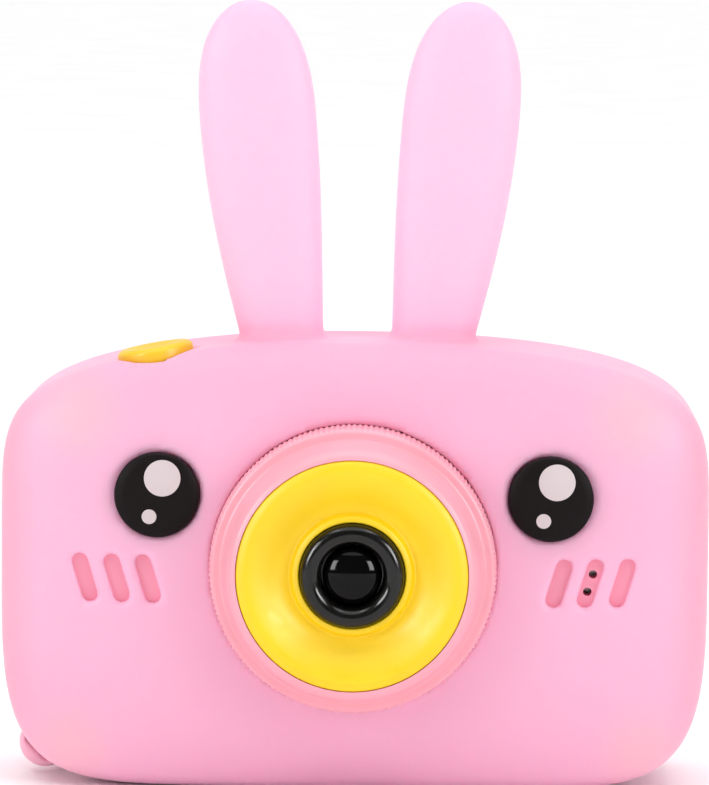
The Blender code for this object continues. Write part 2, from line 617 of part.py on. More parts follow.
def lens_stack():
    place = (0, 0, LENS_Z)
    ring = [
        (RING_BORE, LENS_BASE_Y),
        (RING_RADIUS, LENS_BASE_Y),
        (RING_RADIUS, KNURL_FRONT_Y),
        (RING_RADIUS - 0.5 * MM, KNURL_FRONT_Y - 0.6 * MM),
        (RING_RADIUS - 0.9 * MM, KNURL_FRONT_Y - 0.6 * MM),
        (RING_RADIUS - 1.3 * MM, KNURL_FRONT_Y - 0.3 * MM),
        (RING_RADIUS - 1.7 * MM, KNURL_FRONT_Y - 0.6 * MM),
        (RING_BORE + 1.2 * MM, RING_FRONT_Y + 1.1 * MM),
        (RING_BORE + 0.4 * MM, RING_FRONT_Y),
        (RING_BORE, RING_FRONT_Y),
    ]
    turned("lens_ring", ring, "pink_plastic", place, sides=36)
    funnel = [
        (FUNNEL_BORE, LENS_BASE_Y),
        (FUNNEL_RADIUS, LENS_BASE_Y),
        (FUNNEL_RADIUS, FUNNEL_FRONT_Y + 0.6 * MM),
        (FUNNEL_RADIUS - 0.45 * MM, FUNNEL_FRONT_Y + 0.1 * MM),
        (13.3 * MM, FUNNEL_FRONT_Y),
        (11.8 * MM, FUNNEL_FRONT_Y + 0.5 * MM),
        (10.3 * MM, FUNNEL_FRONT_Y + 1.6 * MM),
        (9.2 * MM, FUNNEL_FRONT_Y + 2.6 * MM),
        (8.3 * MM, FUNNEL_FRONT_Y + 2.8 * MM),
        (7.7 * MM, FUNNEL_FRONT_Y + 1.2 * MM),
        (FUNNEL_BORE, FUNNEL_FRONT_Y + 1.1 * MM),
    ]
    turned("lens_funnel", funnel, "yellow_plastic", place, sides=32)
    glass_room = GLASS_RADIUS + GAP
    stop = GLASS_RADIUS - 0.6 * MM
    barrel = [
        (stop, BARREL_TAIL[1]),
        BARREL_TAIL,
        (BARREL_TAIL[0], LENS_BASE_Y),
        (BARREL_RADIUS, LENS_BASE_Y),
        (BARREL_RADIUS, BARREL_FRONT_Y + 0.7 * MM),
        (BARREL_RADIUS - 0.5 * MM, BARREL_FRONT_Y + 0.1 * MM),
        (BARREL_RADIUS - 1.7 * MM, BARREL_FRONT_Y),
        (glass_room, BARREL_FRONT_Y + 1.6 * MM),
        (glass_room, GLASS_BACK_Y + GAP),
        (stop, GLASS_BACK_Y + GAP),
    ]
    turned("lens_barrel", barrel, "black_gloss", place, sides=24)
    glass = [
        (0, GLASS_BACK_Y),
        (GLASS_RADIUS, GLASS_BACK_Y),
        (GLASS_RADIUS, GLASS_BACK_Y - 1.0 * MM),
        (GLASS_RADIUS * 0.87, GLASS_BACK_Y - 1.8 * MM),
        (GLASS_RADIUS * 0.62, GLASS_BACK_Y - 2.6 * MM),
        (GLASS_RADIUS * 0.3, GLASS_BACK_Y - 3.0 * MM),
        (0, GLASS_BACK_Y - 3.15 * MM),
    ]
    turned("lens_glass", glass, "lens_glass", place, sides=24)


def eye(name, side):
    """A domed cap with a stem that plugs through the sleeve into the shell."""
    cap_back = EYE_POCKET_Y - GAP
    profile = [
        (0, EYE_STEM_END_Y),
        (EYE_STEM_RADIUS, EYE_STEM_END_Y),
        (EYE_STEM_RADIUS, cap_back),
        (EYE_RADIUS - 0.3 * MM, cap_back),
        (EYE_RADIUS, cap_back - 0.3 * MM),
        (EYE_RADIUS, cap_back - 1.3 * MM),
        (EYE_RADIUS - 0.6 * MM, cap_back - 1.8 * MM),
        (EYE_RADIUS * 0.6, cap_back - 2.1 * MM),
        (0, cap_back - 2.2 * MM),
    ]
    return turned(name, profile, "eye_black", (side * EYE_X, 0, EYE_Z), sides=24)


# ---- buttons, card and cover ---------------------------------------------------------------------


def shutter_button():
    profile = [
        (0, -8.2 * MM),
        (SHUTTER_STEM_RADIUS, -8.2 * MM),
        (SHUTTER_STEM_RADIUS, -6.5 * MM),
        (SHUTTER_STEM_RADIUS + 0.9 * MM, -6.5 * MM),
        (SHUTTER_STEM_RADIUS + 0.9 * MM, -5.3 * MM),
        (SHUTTER_STEM_RADIUS, -5.3 * MM),
        (SHUTTER_STEM_RADIUS, -1.0 * MM),
        (SHUTTER_RADIUS, -1.0 * MM),
        (SHUTTER_RADIUS, 0.6 * MM),
        (SHUTTER_RADIUS - 0.5 * MM, 1.0 * MM),
        (SHUTTER_RADIUS * 0.55, 1.1 * MM),
        (0, 1.0 * MM),
    ]
    return turned("shutter_button", profile, "yellow_plastic", SHUTTER_PLACE, SHUTTER_TILT, 20, True)


def rear_button(name, centre, outline):
    """A button held in by a flange inside the panel, with a stem on its switch."""
    stations = [
        (7.9 * MM, -1.1 * MM),
        (10.5 * MM, -1.1 * MM),
        (10.5 * MM, 0.9 * MM),
        (11.3 * MM, 0.9 * MM),
        (11.3 * MM, 0.0),
        (14.0 * MM, 0.0),
        (14.3 * MM, -0.3 * MM),
    ]
    if name.startswith(("power", "mode", "ok")):
        finish = "yellow_plastic" if name.startswith("ok") else "pink_plastic"
        flange = 0.7 * MM
    else:
        finish, flange = "yellow_plastic", 0.45 * MM
    rings = [[(x, y, z) for x, z in outline(min(grow, flange))] for y, grow in stations]
    return loft(name, rings, finish, (centre[0], 0, centre[1]))


def memory_card():
    """The card lies in its socket with its grip end level with the shell."""
    outline = [(43.7, -5.5), (43.7, 5.5), (36.6, 5.5), (35.9, 4.8), (28.7, 4.8), (28.7, -5.5)]
    rings = [[(x * MM, y, z * MM) for x, z in outline] for y in CARD_Y]
    return loft("memory_card", rings, "chip_black", (0, 0, CARD_Z))


def port_cover():
    """The USB port's soft cover, hanging from its hinge line, with a plug on its inner face."""
    place = COVER_HINGE
    low, high = Vector((-1.6, -3.6, -11.6)) * MM, Vector((0.4, 3.6, -0.2)) * MM
    plate = block("port_cover", low, high, "pink_plastic", 0.5 * MM)
    plate.data.transform(Matrix.Translation(plate.location))
    plate.location = place
    plug = rounded_rectangle(2.0 * MM, 6.8 * MM, 0.9 * MM, 3)
    inner_x = place.x - 3 * MM
    rings = [[(x, PORT_Y + y, USB_Z + up) for y, up in plug] for x in (inner_x, place.x - 0.9 * MM)]
    join(plate, loft("cover_plug", rings))
    low, high = place + Vector((-0.3, -1.8, -11.0)) * MM, place + Vector((1.0, 1.8, -9.8)) * MM
    lip = block("cover_lip", low, high, None, 0.3 * MM)
    join(plate, lip)
    return plate


# ---- inside --------------------------------------------------------------------------------------


def main_board():
    low, high = BODY_CENTRE_Z - BOARD_HALF_HEIGHT, BODY_CENTRE_Z + BOARD_HALF_HEIGHT
    outline = [
        (BOARD_LEFT_X + BOARD_CORNER, low),
        (BOARD_RIGHT_X - BOARD_CORNER, low),
        (BOARD_RIGHT_X, low + BOARD_CORNER),
        (BOARD_RIGHT_X, high - BOARD_CORNER),
        (BOARD_RIGHT_X - BOARD_CORNER, high),
        (BOARD_LEFT_X + BOARD_CORNER, high),
        (BOARD_LEFT_X, high - BOARD_CORNER),
        (BOARD_LEFT_X, low + BOARD_CORNER),
    ]
    board = slab("main_board", outline, BOARD_FRONT_Y, BOARD_REAR_Y, "board_green")
    for k, (x, z) in enumerate(screw_places()):
        cut(board, rod(f"board_notch_{k}", 3.4 * MM, 0, 12 * MM, None, (x, 0, z), sides=16))
    for k, (x, z) in enumerate(board_screw_places()):
        cut(board, rod(f"board_hole_{k}", BOARD_PILOT_RADIUS, 0, 12 * MM, None, (x, 0, z), sides=12))
    return board


def on_board_rear(name, centre, size, height, finish, bevel=0.0):
    """A part that stands on the board's screen side."""
    (x, z), (width, tall) = centre, size
    near = BOARD_REAR_Y + GAP
    low, high = (x - width / 2, near, z - tall / 2), (x + width / 2, near + height, z + tall / 2)
    return block(name, low, high, finish, bevel)


def switches():
    """A tactile switch under the stem of each rear button."""
    reach = (PAD_INNER_RADIUS + PAD_OUTER_RADIUS) / 2
    offsets = {
        "right": (-reach, 0),
        "up": (0, reach),
        "left": (reach, 0),
        "down": (0, -reach),
        "ok": (0, 0),
    }
    places = {name: (PAD_X + x, PAD_Z + z) for name, (x, z) in offsets.items()}
    for name, x in zip(("power", "mode"), SMALL_BUTTON_X):
        places[name] = (x, SMALL_BUTTON_Z)
    for name, centre in places.items():
        body = on_board_rear(f"{name}_switch", centre, (3.2 * MM, 3.2 * MM), 1.1 * MM, "switch_white")
        place = (centre[0], 0, centre[1])
        start, end = BOARD_REAR_Y + 1 * MM, BOARD_REAR_Y + 1.7 * MM
        join(body, rod(f"{name}_switch_stem", 0.9 * MM, start, end, None, place, sides=10))


def boards_and_chips():
    main_board()
    switches()
    on_board_rear("processor_chip", (20 * MM, 31 * MM), (11 * MM, 11 * MM), 1.2 * MM, "chip_black", 0.2 * MM)
    on_board_rear("memory_chip", (4 * MM, 31 * MM), (6 * MM, 8 * MM), 1.0 * MM, "chip_black", 0.2 * MM)
    module = on_board_rear("selfie_module", (PAD_X, SELFIE_Z), (7 * MM, 6 * MM), 2.4 * MM, "chip_black")
    join(module, rod("selfie_barrel", 2.3 * MM, 7 * MM, 11.9 * MM, None, (PAD_X, 0, SELFIE_Z), sides=20))
    wall = 0.4 * MM
    half = 6.6 * MM
    low, high = (SOCKET_X[0], SOCKET_Y[0], CARD_Z - half), (SOCKET_X[1], SOCKET_Y[1], CARD_Z + half)
    socket = block("card_socket", low, high, "steel")
    half -= 2 * wall
    low = (SOCKET_X[0] + 4 * wall, SOCKET_Y[0] + wall, CARD_Z - half)
    high = (SIDE_OUTER_X, SOCKET_Y[1] - wall, CARD_Z + half)
    cut(socket, block("card_room", low, high))
    half = USB_HALF_HEIGHT
    low, high = (USB_X[0], USB_Y[0], USB_Z - half), (USB_X[1], USB_Y[1], USB_Z + half)
    usb = block("usb_connector", low, high, "steel", 0.3 * MM)
    half -= 0.45 * MM
    low = (USB_X[0] + 1 * MM, USB_Y[0] + 0.45 * MM, USB_Z - half)
    high = (SIDE_OUTER_X, USB_Y[1] - 0.45 * MM, USB_Z + half)
    cut(usb, block("usb_mouth", low, high))


def display():
    place = (SCREEN_X, 0, SCREEN_Z)
    window = rounded_rectangle(*WINDOW_SIZE, WINDOW_CORNER)
    slab("screen_window", window, REAR_PANEL_Y - 0.9 * MM, REAR_PANEL_Y - 0.05 * MM, "screen_glass", place)
    half_width, half_height = LCD_SIZE[0] / 2, LCD_SIZE[1] / 2
    low = (SCREEN_X - half_width, 8.6 * MM, SCREEN_Z - half_height)
    high = (SCREEN_X + half_width, 11.1 * MM, SCREEN_Z + half_height)
    block("lcd_module", low, high, "display_grey", 0.3 * MM)
    selfie = [(0, 12.6 * MM), (SELFIE_RADIUS, 12.6 * MM), (SELFIE_RADIUS, 13.3 * MM)]
    selfie += [(SELFIE_RADIUS - 0.4 * MM, 13.6 * MM), (0, 13.75 * MM)]
    turned("selfie_window", selfie, "lens_glass", (PAD_X, 0, SELFIE_Z), sides=20)


def camera_module():
    half = 4.5 * MM
    low, high = (-half, -6.5 * MM, LENS_Z - half), (half, -2.6 * MM, LENS_Z + half)
    holder = block("camera_lens_holder", low, high, "chip_black")
    join(holder, rod("camera_lens_tube", 3.5 * MM, -12.4 * MM, -5 * MM, None, (0, 0, LENS_Z), sides=24))
    half = 6.5 * MM
    low, high = (-half, -2.3 * MM, LENS_Z - half), (half, -1.3 * MM, LENS_Z + half)
    block("camera_sensor_board", low, high, "board_green")
    ribbon = [(-1.0, 4.5), (-1.0, -4.2), (-0.7, -4.5), (3.8, -4.5), (4.1, -4.2), (4.1, 0), (3.8, 0)]
    ribbon += [(3.8, -3.9), (3.5, -4.2), (-0.4, -4.2), (-0.7, -3.9), (-0.7, 4.5)]
    rings = [[(x, y * MM, z * MM) for y, z in ribbon] for x in (-3 * MM, 3 * MM)]
    loft("camera_ribbon", rings, "ribbon_amber", (0, 0, LENS_Z))


def display_ribbon():
    """The display's ribbon, folded from the back of the display down onto the board."""
    fold = [(8.3, 18), (8.3, 14.4), (8, 14), (6.2, 14), (5.9, 14.4), (5.9, 17), (6.2, 17)]
    fold += [(6.2, 14.6), (6.4, 14.3), (7.8, 14.3), (8, 14.6), (8, 18)]
    rings = [[(x, y * MM, z * MM) for y, z in fold] for x in (-5 * MM, 5 * MM)]
    loft("display_ribbon", rings, "ribbon_amber", (SCREEN_X + 4 * MM, 0, 0))


def battery_and_sound():
    low, high = (BODY_CENTRE_Z + level for level in BATTERY_LEVELS)
    near, far = BATTERY_Y
    start, end = BATTERY_X
    block("battery", (start, near, low), (end, far, high), "battery_foil", 0.8 * MM)
    low, high = (start + 4 * MM, far + GAP, low + 5 * MM), (end - 4 * MM, far + 0.9 * MM, high - 5 * MM)
    block("battery_pad", low, high, "foam_grey")
    wide, tall = SPEAKER_HALF_SIZE
    near, far = SPEAKER_Y
    low, high = (PAD_X - wide, near, SPEAKER_Z - tall), (PAD_X + wide, far, SPEAKER_Z + tall)
    block("speaker", low, high, "chip_black", 0.5 * MM)
    near, far = far + GAP, far + 0.9 * MM
    low, high = (PAD_X - wide, near, SPEAKER_Z - tall), (PAD_X + wide, far, SPEAKER_Z + tall)
    gasket = block("speaker_gasket", low, high, "foam_grey")
    wide, tall = wide - 0.8 * MM, tall - 1.2 * MM
    low = (PAD_X - wide, near - 1 * MM, SPEAKER_Z - tall)
    high = (PAD_X + wide, far + 1 * MM, SPEAKER_Z + tall)
    cut(gasket, block("gasket_window", low, high))
    rod("microphone", 2.4 * MM, -10.4 * MM, -8.6 * MM, "steel", (MICROPHONE_X, 0, SLOT_Z), sides=20)


def wire(name, points, finish, radius=0.45 * MM, sides=8):
    """An insulated lead: round sections skinned along a smooth curve through the given points."""
    samples = []
    padded = [points[0], *points, points[-1]]
    for before, start, end, after in zip(padded, padded[1:], padded[2:], padded[3:]):
        for step in range(3):
            t = step / 3
            weights = (-t + 2 * t**2 - t**3, 2 - 5 * t**2 + 3 * t**3, t + 4 * t**2 - 3 * t**3, t**3 - t**2)
            corners = (before, start, end, after)
            samples.append(sum((Vector(p) * w / 2 * MM for w, p in zip(weights, corners)), Vector()))
    samples.append(Vector(points[-1]) * MM)
    rings = []
    for k, sample in enumerate(samples):
        heading = samples[min(k + 1, len(samples) - 1)] - samples[max(k - 1, 0)]
        side = heading.cross(Vector((0, 1, 0))).normalized() * radius
        up = side.cross(heading).normalized() * radius
        angles = [math.tau * n / sides for n in range(sides)]
        rings.append([sample + side * math.cos(a) + up * math.sin(a) for a in angles])
    return loft(name, rings, finish)


def leads():
    """The battery's two leads, held between the battery and the board."""
    red = [(-16, 0.8, 43.5), (-15.4, 0.8, 45), (-12, 1.6, 45.8), (-8.6, 2.8, 44.4), (-7, 3.6, 42.2)]
    black = [(-19, -1.6, 43.5), (-18.2, -1.6, 45.6), (-14, -1, 47.4), (-8, 1, 46.8), (-4, 3.4, 43.6)]
    wire("battery_lead_red", red, "wire_red")
    wire("battery_lead_black", black, "wire_black")


def shutter_switch():
    """A switch on a small board under the shutter button's stem, square to the stem."""
    wide, deep = SHUTTER_BOARD_SIZE[0] / 2, SHUTTER_BOARD_SIZE[1] / 2
    low, high = SHUTTER_BOARD_LEVELS
    base = block("shutter_board", (-wide, -deep, low), (wide, deep, high), "board_green")
    half = SHUTTER_SWITCH_SIZE / 2
    low, high = SHUTTER_SWITCH_LEVELS
    body = block("shutter_switch", (-half, -half, low), (half, half, high), "switch_white")
    for thing in (base, body):
        thing.data.transform(Matrix.Translation(thing.location))
        thing.location = SHUTTER_PLACE
        thing.rotation_euler = (0, SHUTTER_TILT, 0)
    return base


# ---- fasteners and eyelet ------------------------------------------------------------------------


def screw(name, x, z, seat, head_radius, shank_radius, tip):
    """A pan-head screw driven towards the lens, with a cross recess."""
    top = seat + GAP + 1.3 * MM
    profile = [
        (0, tip),
        (shank_radius * 0.4, tip),
        (shank_radius, tip + 1.2 * MM),
        (shank_radius, seat + GAP),
        (head_radius, seat + GAP),
        (head_radius, top - 0.5 * MM),
        (head_radius * 0.7, top),
        (0, top),
    ]
    made = turned(name, profile, "steel", (x, 0, z), sides=12)
    arm, half = head_radius * 0.62, 0.22 * MM
    for along, across in ((arm, half), (half, arm)):
        low, high = (x - along, top - 0.7 * MM, z - across), (x + along, top + 1 * MM, z + across)
        cut(made, block(f"{name}_recess_{along > across}", low, high))
    return made


def fasteners():
    for k, (x, z) in enumerate(screw_places(), 1):
        screw(f"case_screw_{k}", x, z, CASE_SCREW_SEAT_Y, 1.75 * MM, 0.95 * MM, CASE_SCREW_TIP_Y)
    for k, (x, z) in enumerate(board_screw_places(), 1):
        screw(f"board_screw_{k}", x, z, BOARD_REAR_Y, 1.6 * MM, 0.8 * MM, BOARD_SCREW_TIP_Y)


def lanyard_eyelet():
    """A loop that stands out of the lower left corner, with a foot clamped inside the shells."""
    half = EYELET_HALF_THICKNESS
    foot = [(-5.1, -2.9), (-4.4, -2.9), (-4.4, -2.0), (-1.0, -2.6), (0.1, -3.4)]  # millimetres
    outline = [(x * MM, z * MM) for x, z in foot]
    angles = [math.radians(a) for a in range(-75, 76, 25)]
    loop = [(EYELET_LOOP_X + EYELET_RADIUS * math.cos(a), EYELET_RADIUS * math.sin(a)) for a in angles]
    points = outline + loop + [(x, -z) for x, z in reversed(outline)]
    made = slab("lanyard_eyelet", points, -half, half, "pink_plastic")
    slot = [(x + EYELET_SLOT_X, z) for x, z in pill(*EYELET_SLOT_SIZE, 3)]
    cut_slot = slab("eyelet_slot", slot, -5 * MM, 5 * MM)
    for thing in (made, cut_slot):
        thing.location = EYELET_CENTRE
        thing.rotation_euler = (0, -EYELET_ANGLE, 0)
    cut(made, cut_slot)
    return made


def cover_anchor():
    """The fixed end of the port cover's strap, with a barb through the shell."""
    low, high = COVER_HINGE + Vector((-1.6, -2.6, 0.6)) * MM, COVER_HINGE + Vector((0.4, 2.6, 2.3)) * MM
    tab = block("port_cover_anchor", low, high, "pink_plastic", 0.3 * MM)
    low, high = COVER_HINGE + Vector((-4.3, -1.0, 0.9)) * MM, COVER_HINGE + Vector((-0.9, 1.0, 1.9)) * MM
    join(tab, block("anchor_barb", low, high))
    return tab


def main():
    for thing in list(bpy.data.objects):
        bpy.data.objects.remove(thing)
    silicone_sleeve()
    front_shell()
    rear_shell()
    lens_stack()
    eye("left_eye", -1)
    eye("right_eye", 1)
    shutter_button()
    for name, centre, outline in rear_buttons():
        rear_button(name, centre, outline)
    memory_card()
    port_cover()
    cover_anchor()
    display()
    display_ribbon()
    camera_module()
    boards_and_chips()
    battery_and_sound()
    leads()
    shutter_switch()
    fasteners()
    lanyard_eyelet()


main()
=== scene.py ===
"""The looks of the toy camera: fine surfaces, materials, light and a view of its lens side.

Lengths are in millimetres inside the shape code and in metres in the scene. The frame is the CAD
model's: +Z up, the lens looks along -Y, and the origin is the centre of the flat underside.
"""

import itertools
import math

import bmesh
import bpy
import numpy as np
from mathutils import Matrix, Vector


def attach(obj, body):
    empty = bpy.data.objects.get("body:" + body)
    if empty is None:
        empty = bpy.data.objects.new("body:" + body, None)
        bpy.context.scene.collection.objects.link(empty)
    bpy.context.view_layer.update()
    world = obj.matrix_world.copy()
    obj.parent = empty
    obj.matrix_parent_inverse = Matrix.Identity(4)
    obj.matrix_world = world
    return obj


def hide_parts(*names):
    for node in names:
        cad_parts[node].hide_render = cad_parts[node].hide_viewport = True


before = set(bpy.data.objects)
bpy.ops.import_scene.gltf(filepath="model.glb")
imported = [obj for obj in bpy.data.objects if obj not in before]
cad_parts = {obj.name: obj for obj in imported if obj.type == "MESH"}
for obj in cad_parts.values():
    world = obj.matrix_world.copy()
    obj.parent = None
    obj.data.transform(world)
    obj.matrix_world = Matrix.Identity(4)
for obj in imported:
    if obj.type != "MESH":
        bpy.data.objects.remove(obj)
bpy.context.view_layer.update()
MM = 0.001
ROOT = "camera_body"

# The body, as in the CAD model.
HALF_WIDTH = 46.6
HALF_HEIGHT = 29.5
CENTRE_Z = 29.5
FRONT_DEPTH = 16
REAR_DEPTH = 17
STRAIGHT_DEPTH = 6.5
UPPER = (2.3, 6.1)
LOWER = (7.7, 3.7)
WALL = 2.2
SHOULDER_DROP = 0.34
SHELL_INSET = 2.5
SHELL_WALL = 1.8
REAR_PANEL_Y = 13.5
REAR_OPENING = (40.2, 23.3)
GAP = 0.3

EAR_HEIGHT = 44.65
EAR_WIDEST = 0.64

LENS_Z = 30.5
LENS_PLACE = (0, 0, LENS_Z)
LENS_OPENING = 18.62
LENS_BASE_Y = -13.8
RING_INNER = 15.02
FUNNEL_RADIUS = 14.97
LIP_RADIUS = 6.86
BARREL_RADIUS = 6.78
DOME_RADIUS = 3.85
EYE_X = 25.6
EYE_Z = 39.7
EYE_RADIUS = 5.55
EYE_HOLE = 2.8
SLOT_PLACES_X = (26.8, 30.9, 35.1)
SLOT_Z = 28.5
SLOT_LENGTH = 6.6
SLOT_WIDTH = 2.1
SLOT_TILT = math.radians(17)
SLOT_PAD_TOPS = (-14.2, -13.8, -13.2)

SHUTTER = (-26.5, -5, 57.2)
SHUTTER_TILT = math.radians(-10.5)
SCREEN = (9.7, 0, CENTRE_Z)
WINDOW_SIZE = (46, 36)
WINDOW_CORNER = 3.5
PAD_X = -25.5
PAD_Z = 26.5
PAD_INNER = 4.9
PAD_OUTER = 9.6
PAD_HALF_ANGLE = math.radians(35)
PAD_DIRECTIONS = {"right": math.pi, "up": math.pi / 2, "left": 0.0, "down": -math.pi / 2}
OK_RADIUS = 3.3
SMALL_RADIUS = 2.4
SMALL_Z = 41
SMALL_X = {"power": -32.5, "mode": -18.5}
SELFIE_Z = 44.9
SPEAKER_Z = 12.1
PORT_Y = 2.8
USB_Z = 36.3
CARD_Z = 20.5
HINGE = (46.0, PORT_Y, 41.2)
EYELET = (-41.6, 0, 4.7)
SCREWS = [(x, CENTRE_Z + level) for x in (-35.7, 35.7) for level in (-18.6, 16.5)]
BOARD_SCREWS = [(8, CENTRE_Z + level) for level in (-17, 17)]


# Colours and materials.


def linear(rgb):
    """An sRGB colour of 0 to 255 as scene-linear light."""
    shares = [channel / 255 for channel in rgb]
    return [s / 12.92 if s <= 0.04045 else ((s + 0.055) / 1.055) ** 2.4 for s in shares]


class NodeTree:
    """A node tree and short ways to add to it."""

    def __init__(self, tree):
        self.nodes, self.links = tree.nodes, tree.links

    def node(self, kind, inputs=(), **settings):
        made = self.nodes.new(kind)
        for key, value in settings.items():
            setattr(made, key, value)
        for key, value in dict(inputs).items():
            if isinstance(value, bpy.types.NodeSocket):
                self.links.new(value, made.inputs[key])
            else:
                made.inputs[key].default_value = value
        return made

    def span(self, value, low, high, to_low=0.0, to_high=1.0, smooth=False):
        """value from low..high to to_low..to_high, clamped."""
        inputs = {"Value": value, "From Min": low, "From Max": high, "To Min": to_low, "To Max": to_high}
        kind = "SMOOTHSTEP" if smooth else "LINEAR"
        return self.node("ShaderNodeMapRange", inputs, interpolation_type=kind).outputs["Result"]


class Surface(NodeTree):
    """A Principled material and its node tree."""

    def __init__(self, name, roughness=0.4, **sockets):
        self.material = bpy.data.materials.new(name)
        self.material.use_nodes = True
        super().__init__(self.material.node_tree)
        self.shader = self.nodes["Principled BSDF"]
        self.set(roughness=roughness, **sockets)
        self.place = self.nodes.new("ShaderNodeTexCoord").outputs["Object"]

    def set(self, **sockets):
        """Constants on the shader's own sockets, such as coat_weight=0.5."""
        for key, value in sockets.items():
            self.shader.inputs[key.replace("_", " ").title().replace("Ior", "IOR")].default_value = value

    def noise(self, scale, detail=3.0, roughness=0.5, place=None):
        inputs = {"Vector": place or self.place, "Scale": scale, "Detail": detail, "Roughness": roughness}
        return self.node("ShaderNodeTexNoise", inputs).outputs["Fac"]

    def mix(self, factor, first, second):
        """Two colours, each an sRGB triple or a socket, blended by a factor."""
        sockets = bpy.types.NodeSocket
        ends = [c if isinstance(c, sockets) else (*linear(c), 1) for c in (first, second)]
        inputs = {0: factor, 6: ends[0], 7: ends[1]}
        return self.node("ShaderNodeMix", inputs, data_type="RGBA").outputs[2]

    def math(self, operation, *values):
        return self.node("ShaderNodeMath", enumerate(values), operation=operation).outputs[0]

    def axis(self, letter):
        return self.node("ShaderNodeSeparateXYZ", {"Vector": self.place}).outputs[letter]

    def distance(self, point, stretch=(1, 1, 1)):
        """The distance in metres from a point given in millimetres."""
        scaled = self.node("ShaderNodeVectorMath", {0: self.place, 1: stretch}, operation="MULTIPLY")
        ends = {0: scaled.outputs[0], 1: [c * MM * s for c, s in zip(point, stretch)]}
        return self.node("ShaderNodeVectorMath", ends, operation="DISTANCE").outputs["Value"]

    def colour(self, socket):
        self.links.new(socket, self.shader.inputs["Base Color"])

    def roughen(self, socket):
        self.links.new(socket, self.shader.inputs["Roughness"])

    def bump(self, height, distance, strength=1.0):
        """Relief of up to a distance in metres."""
        inputs = {"Height": height, "Distance": distance, "Strength": strength}
        made = self.node("ShaderNodeBump", inputs)
        self.links.new(made.outputs[0], self.shader.inputs["Normal"])


def plastic(name, rgb, roughness=0.35, variation=0.04, grain=0.000012, scale=2600.0, **sockets):
    """Moulded plastic: a faint flow mottle, a fine spark-eroded grain and uneven gloss."""
    made = Surface(name, roughness, **sockets)
    dark = [c * (1 - variation) for c in rgb]
    light = [min(255, c * (1 + variation * 0.6)) for c in rgb]
    made.colour(made.mix(made.span(made.noise(90, 2), 0.3, 0.7), dark, light))
    made.roughen(made.span(made.noise(400, 4), 0.3, 0.7, roughness * 0.85, roughness * 1.15))
    made.bump(made.noise(scale, 2), grain)
    return made.material


def silicone(name):
    """Soft translucent pink silicone with a matt skin and a faint mottle. Its colour carries painted shade
    low down, along the top and towards the sides, painted light that makes the thin ears paler, and four
    warm painted glows near the corners.
    """
    made = Surface(name, 0.5, subsurface_weight=0.35, subsurface_scale=0.004)
    made.set(subsurface_radius=(1.0, 0.35, 0.45), specular_ior_level=0.35)
    made.set(sheen_weight=0.06, sheen_roughness=0.5)
    body = made.mix(made.span(made.noise(35, 2), 0.35, 0.65), (253, 182, 211), (255, 187, 216))
    up = made.axis("Z")
    # Painted shade: a touch darker towards the bottom of the body.
    shaded = made.mix(made.span(up, 0.0, 0.03, smooth=True), (253, 181, 210), body)
    # Painted shade: a deeper pink along the top of the body.
    painted_top_shade = made.mix(made.span(up, 0.046, 0.058, smooth=True), shaded, (255, 177, 206))
    # Painted shade: darker towards the left and right edges of the body.
    sides = made.span(made.math("ABSOLUTE", made.axis("X")), 0.04, 0.0466, 0.0, 0.8, smooth=True)
    painted_light_and_shade = made.mix(sides, painted_top_shade, (251, 172, 194))
    # Painted light: the thin ears paler, as light shines through them from behind.
    painted_light_and_shade = made.mix(made.span(up, 0.0585, 0.062, smooth=True), painted_light_and_shade, (254, 201, 228))
    # Painted light: a warm glow near each of the four corners.
    for x, z in ((-36, 50), (36, 50), (-37, 6), (38, 6)):
        near = made.span(made.distance((x, -12, z), (1, 0.5, 1)), 0.001, 0.008, 0.35, 0.0, True)
        painted_light_and_shade = made.mix(near, painted_light_and_shade, (255, 196, 190))
    made.colour(painted_light_and_shade)
    made.roughen(made.span(made.noise(500, 4), 0.3, 0.7, 0.46, 0.58))
    made.bump(made.noise(3200, 3, 0.6), 0.000014)
    return made.material


def clear_black(name, rgb, roughness=0.04, **sockets):
    """Dark glass or gloss plastic with a faint polish haze and dust."""
    made = Surface(name, roughness, **sockets)
    made.colour(made.mix(made.span(made.noise(220, 3), 0.35, 0.7), rgb, [c * 1.25 + 2 for c in rgb]))
    made.roughen(made.span(made.noise(900, 3), 0.35, 0.75, roughness * 0.7, roughness * 1.5))
    made.bump(made.noise(180, 1), 0.000004)
    return made.material


def screen_glass(name):
    """The window over the display: a black printed border round a slightly paler clear field."""
    made = Surface(name, 0.05, specular_ior_level=0.4)
    across = made.math("DIVIDE", made.math("ABSOLUTE", made.axis("X")), 20.3 * MM)
    tall = made.math("DIVIDE", made.math("ABSOLUTE", made.axis("Z")), 15.2 * MM)
    border = made.span(made.math("MAXIMUM", across, tall), 0.995, 1.005)
    field = made.mix(made.span(made.noise(120, 3), 0.35, 0.7), (26, 29, 35), (31, 34, 41))
    made.colour(made.mix(border, field, (6, 6, 7)))
    made.roughen(made.span(made.noise(500, 3), 0.35, 0.75, 0.04, 0.08))
    made.bump(made.noise(160, 1), 0.000003)
    return made.material


def metal(name, rgb, roughness=0.28, scale=(300, 3000, 300)):
    """Plated or brushed steel with fine drawn lines."""
    made = Surface(name, roughness, metallic=1.0)
    drawn = made.node("ShaderNodeMapping", {"Vector": made.place, "Scale": scale}).outputs[0]
    lines = made.noise(1, 4, place=drawn)
    made.colour(made.mix(made.span(lines, 0.3, 0.7), [c * 0.88 for c in rgb], rgb))
    made.roughen(made.span(lines, 0.3, 0.7, roughness * 0.7, roughness * 1.3))
    made.bump(lines, 0.00001)
    return made.material


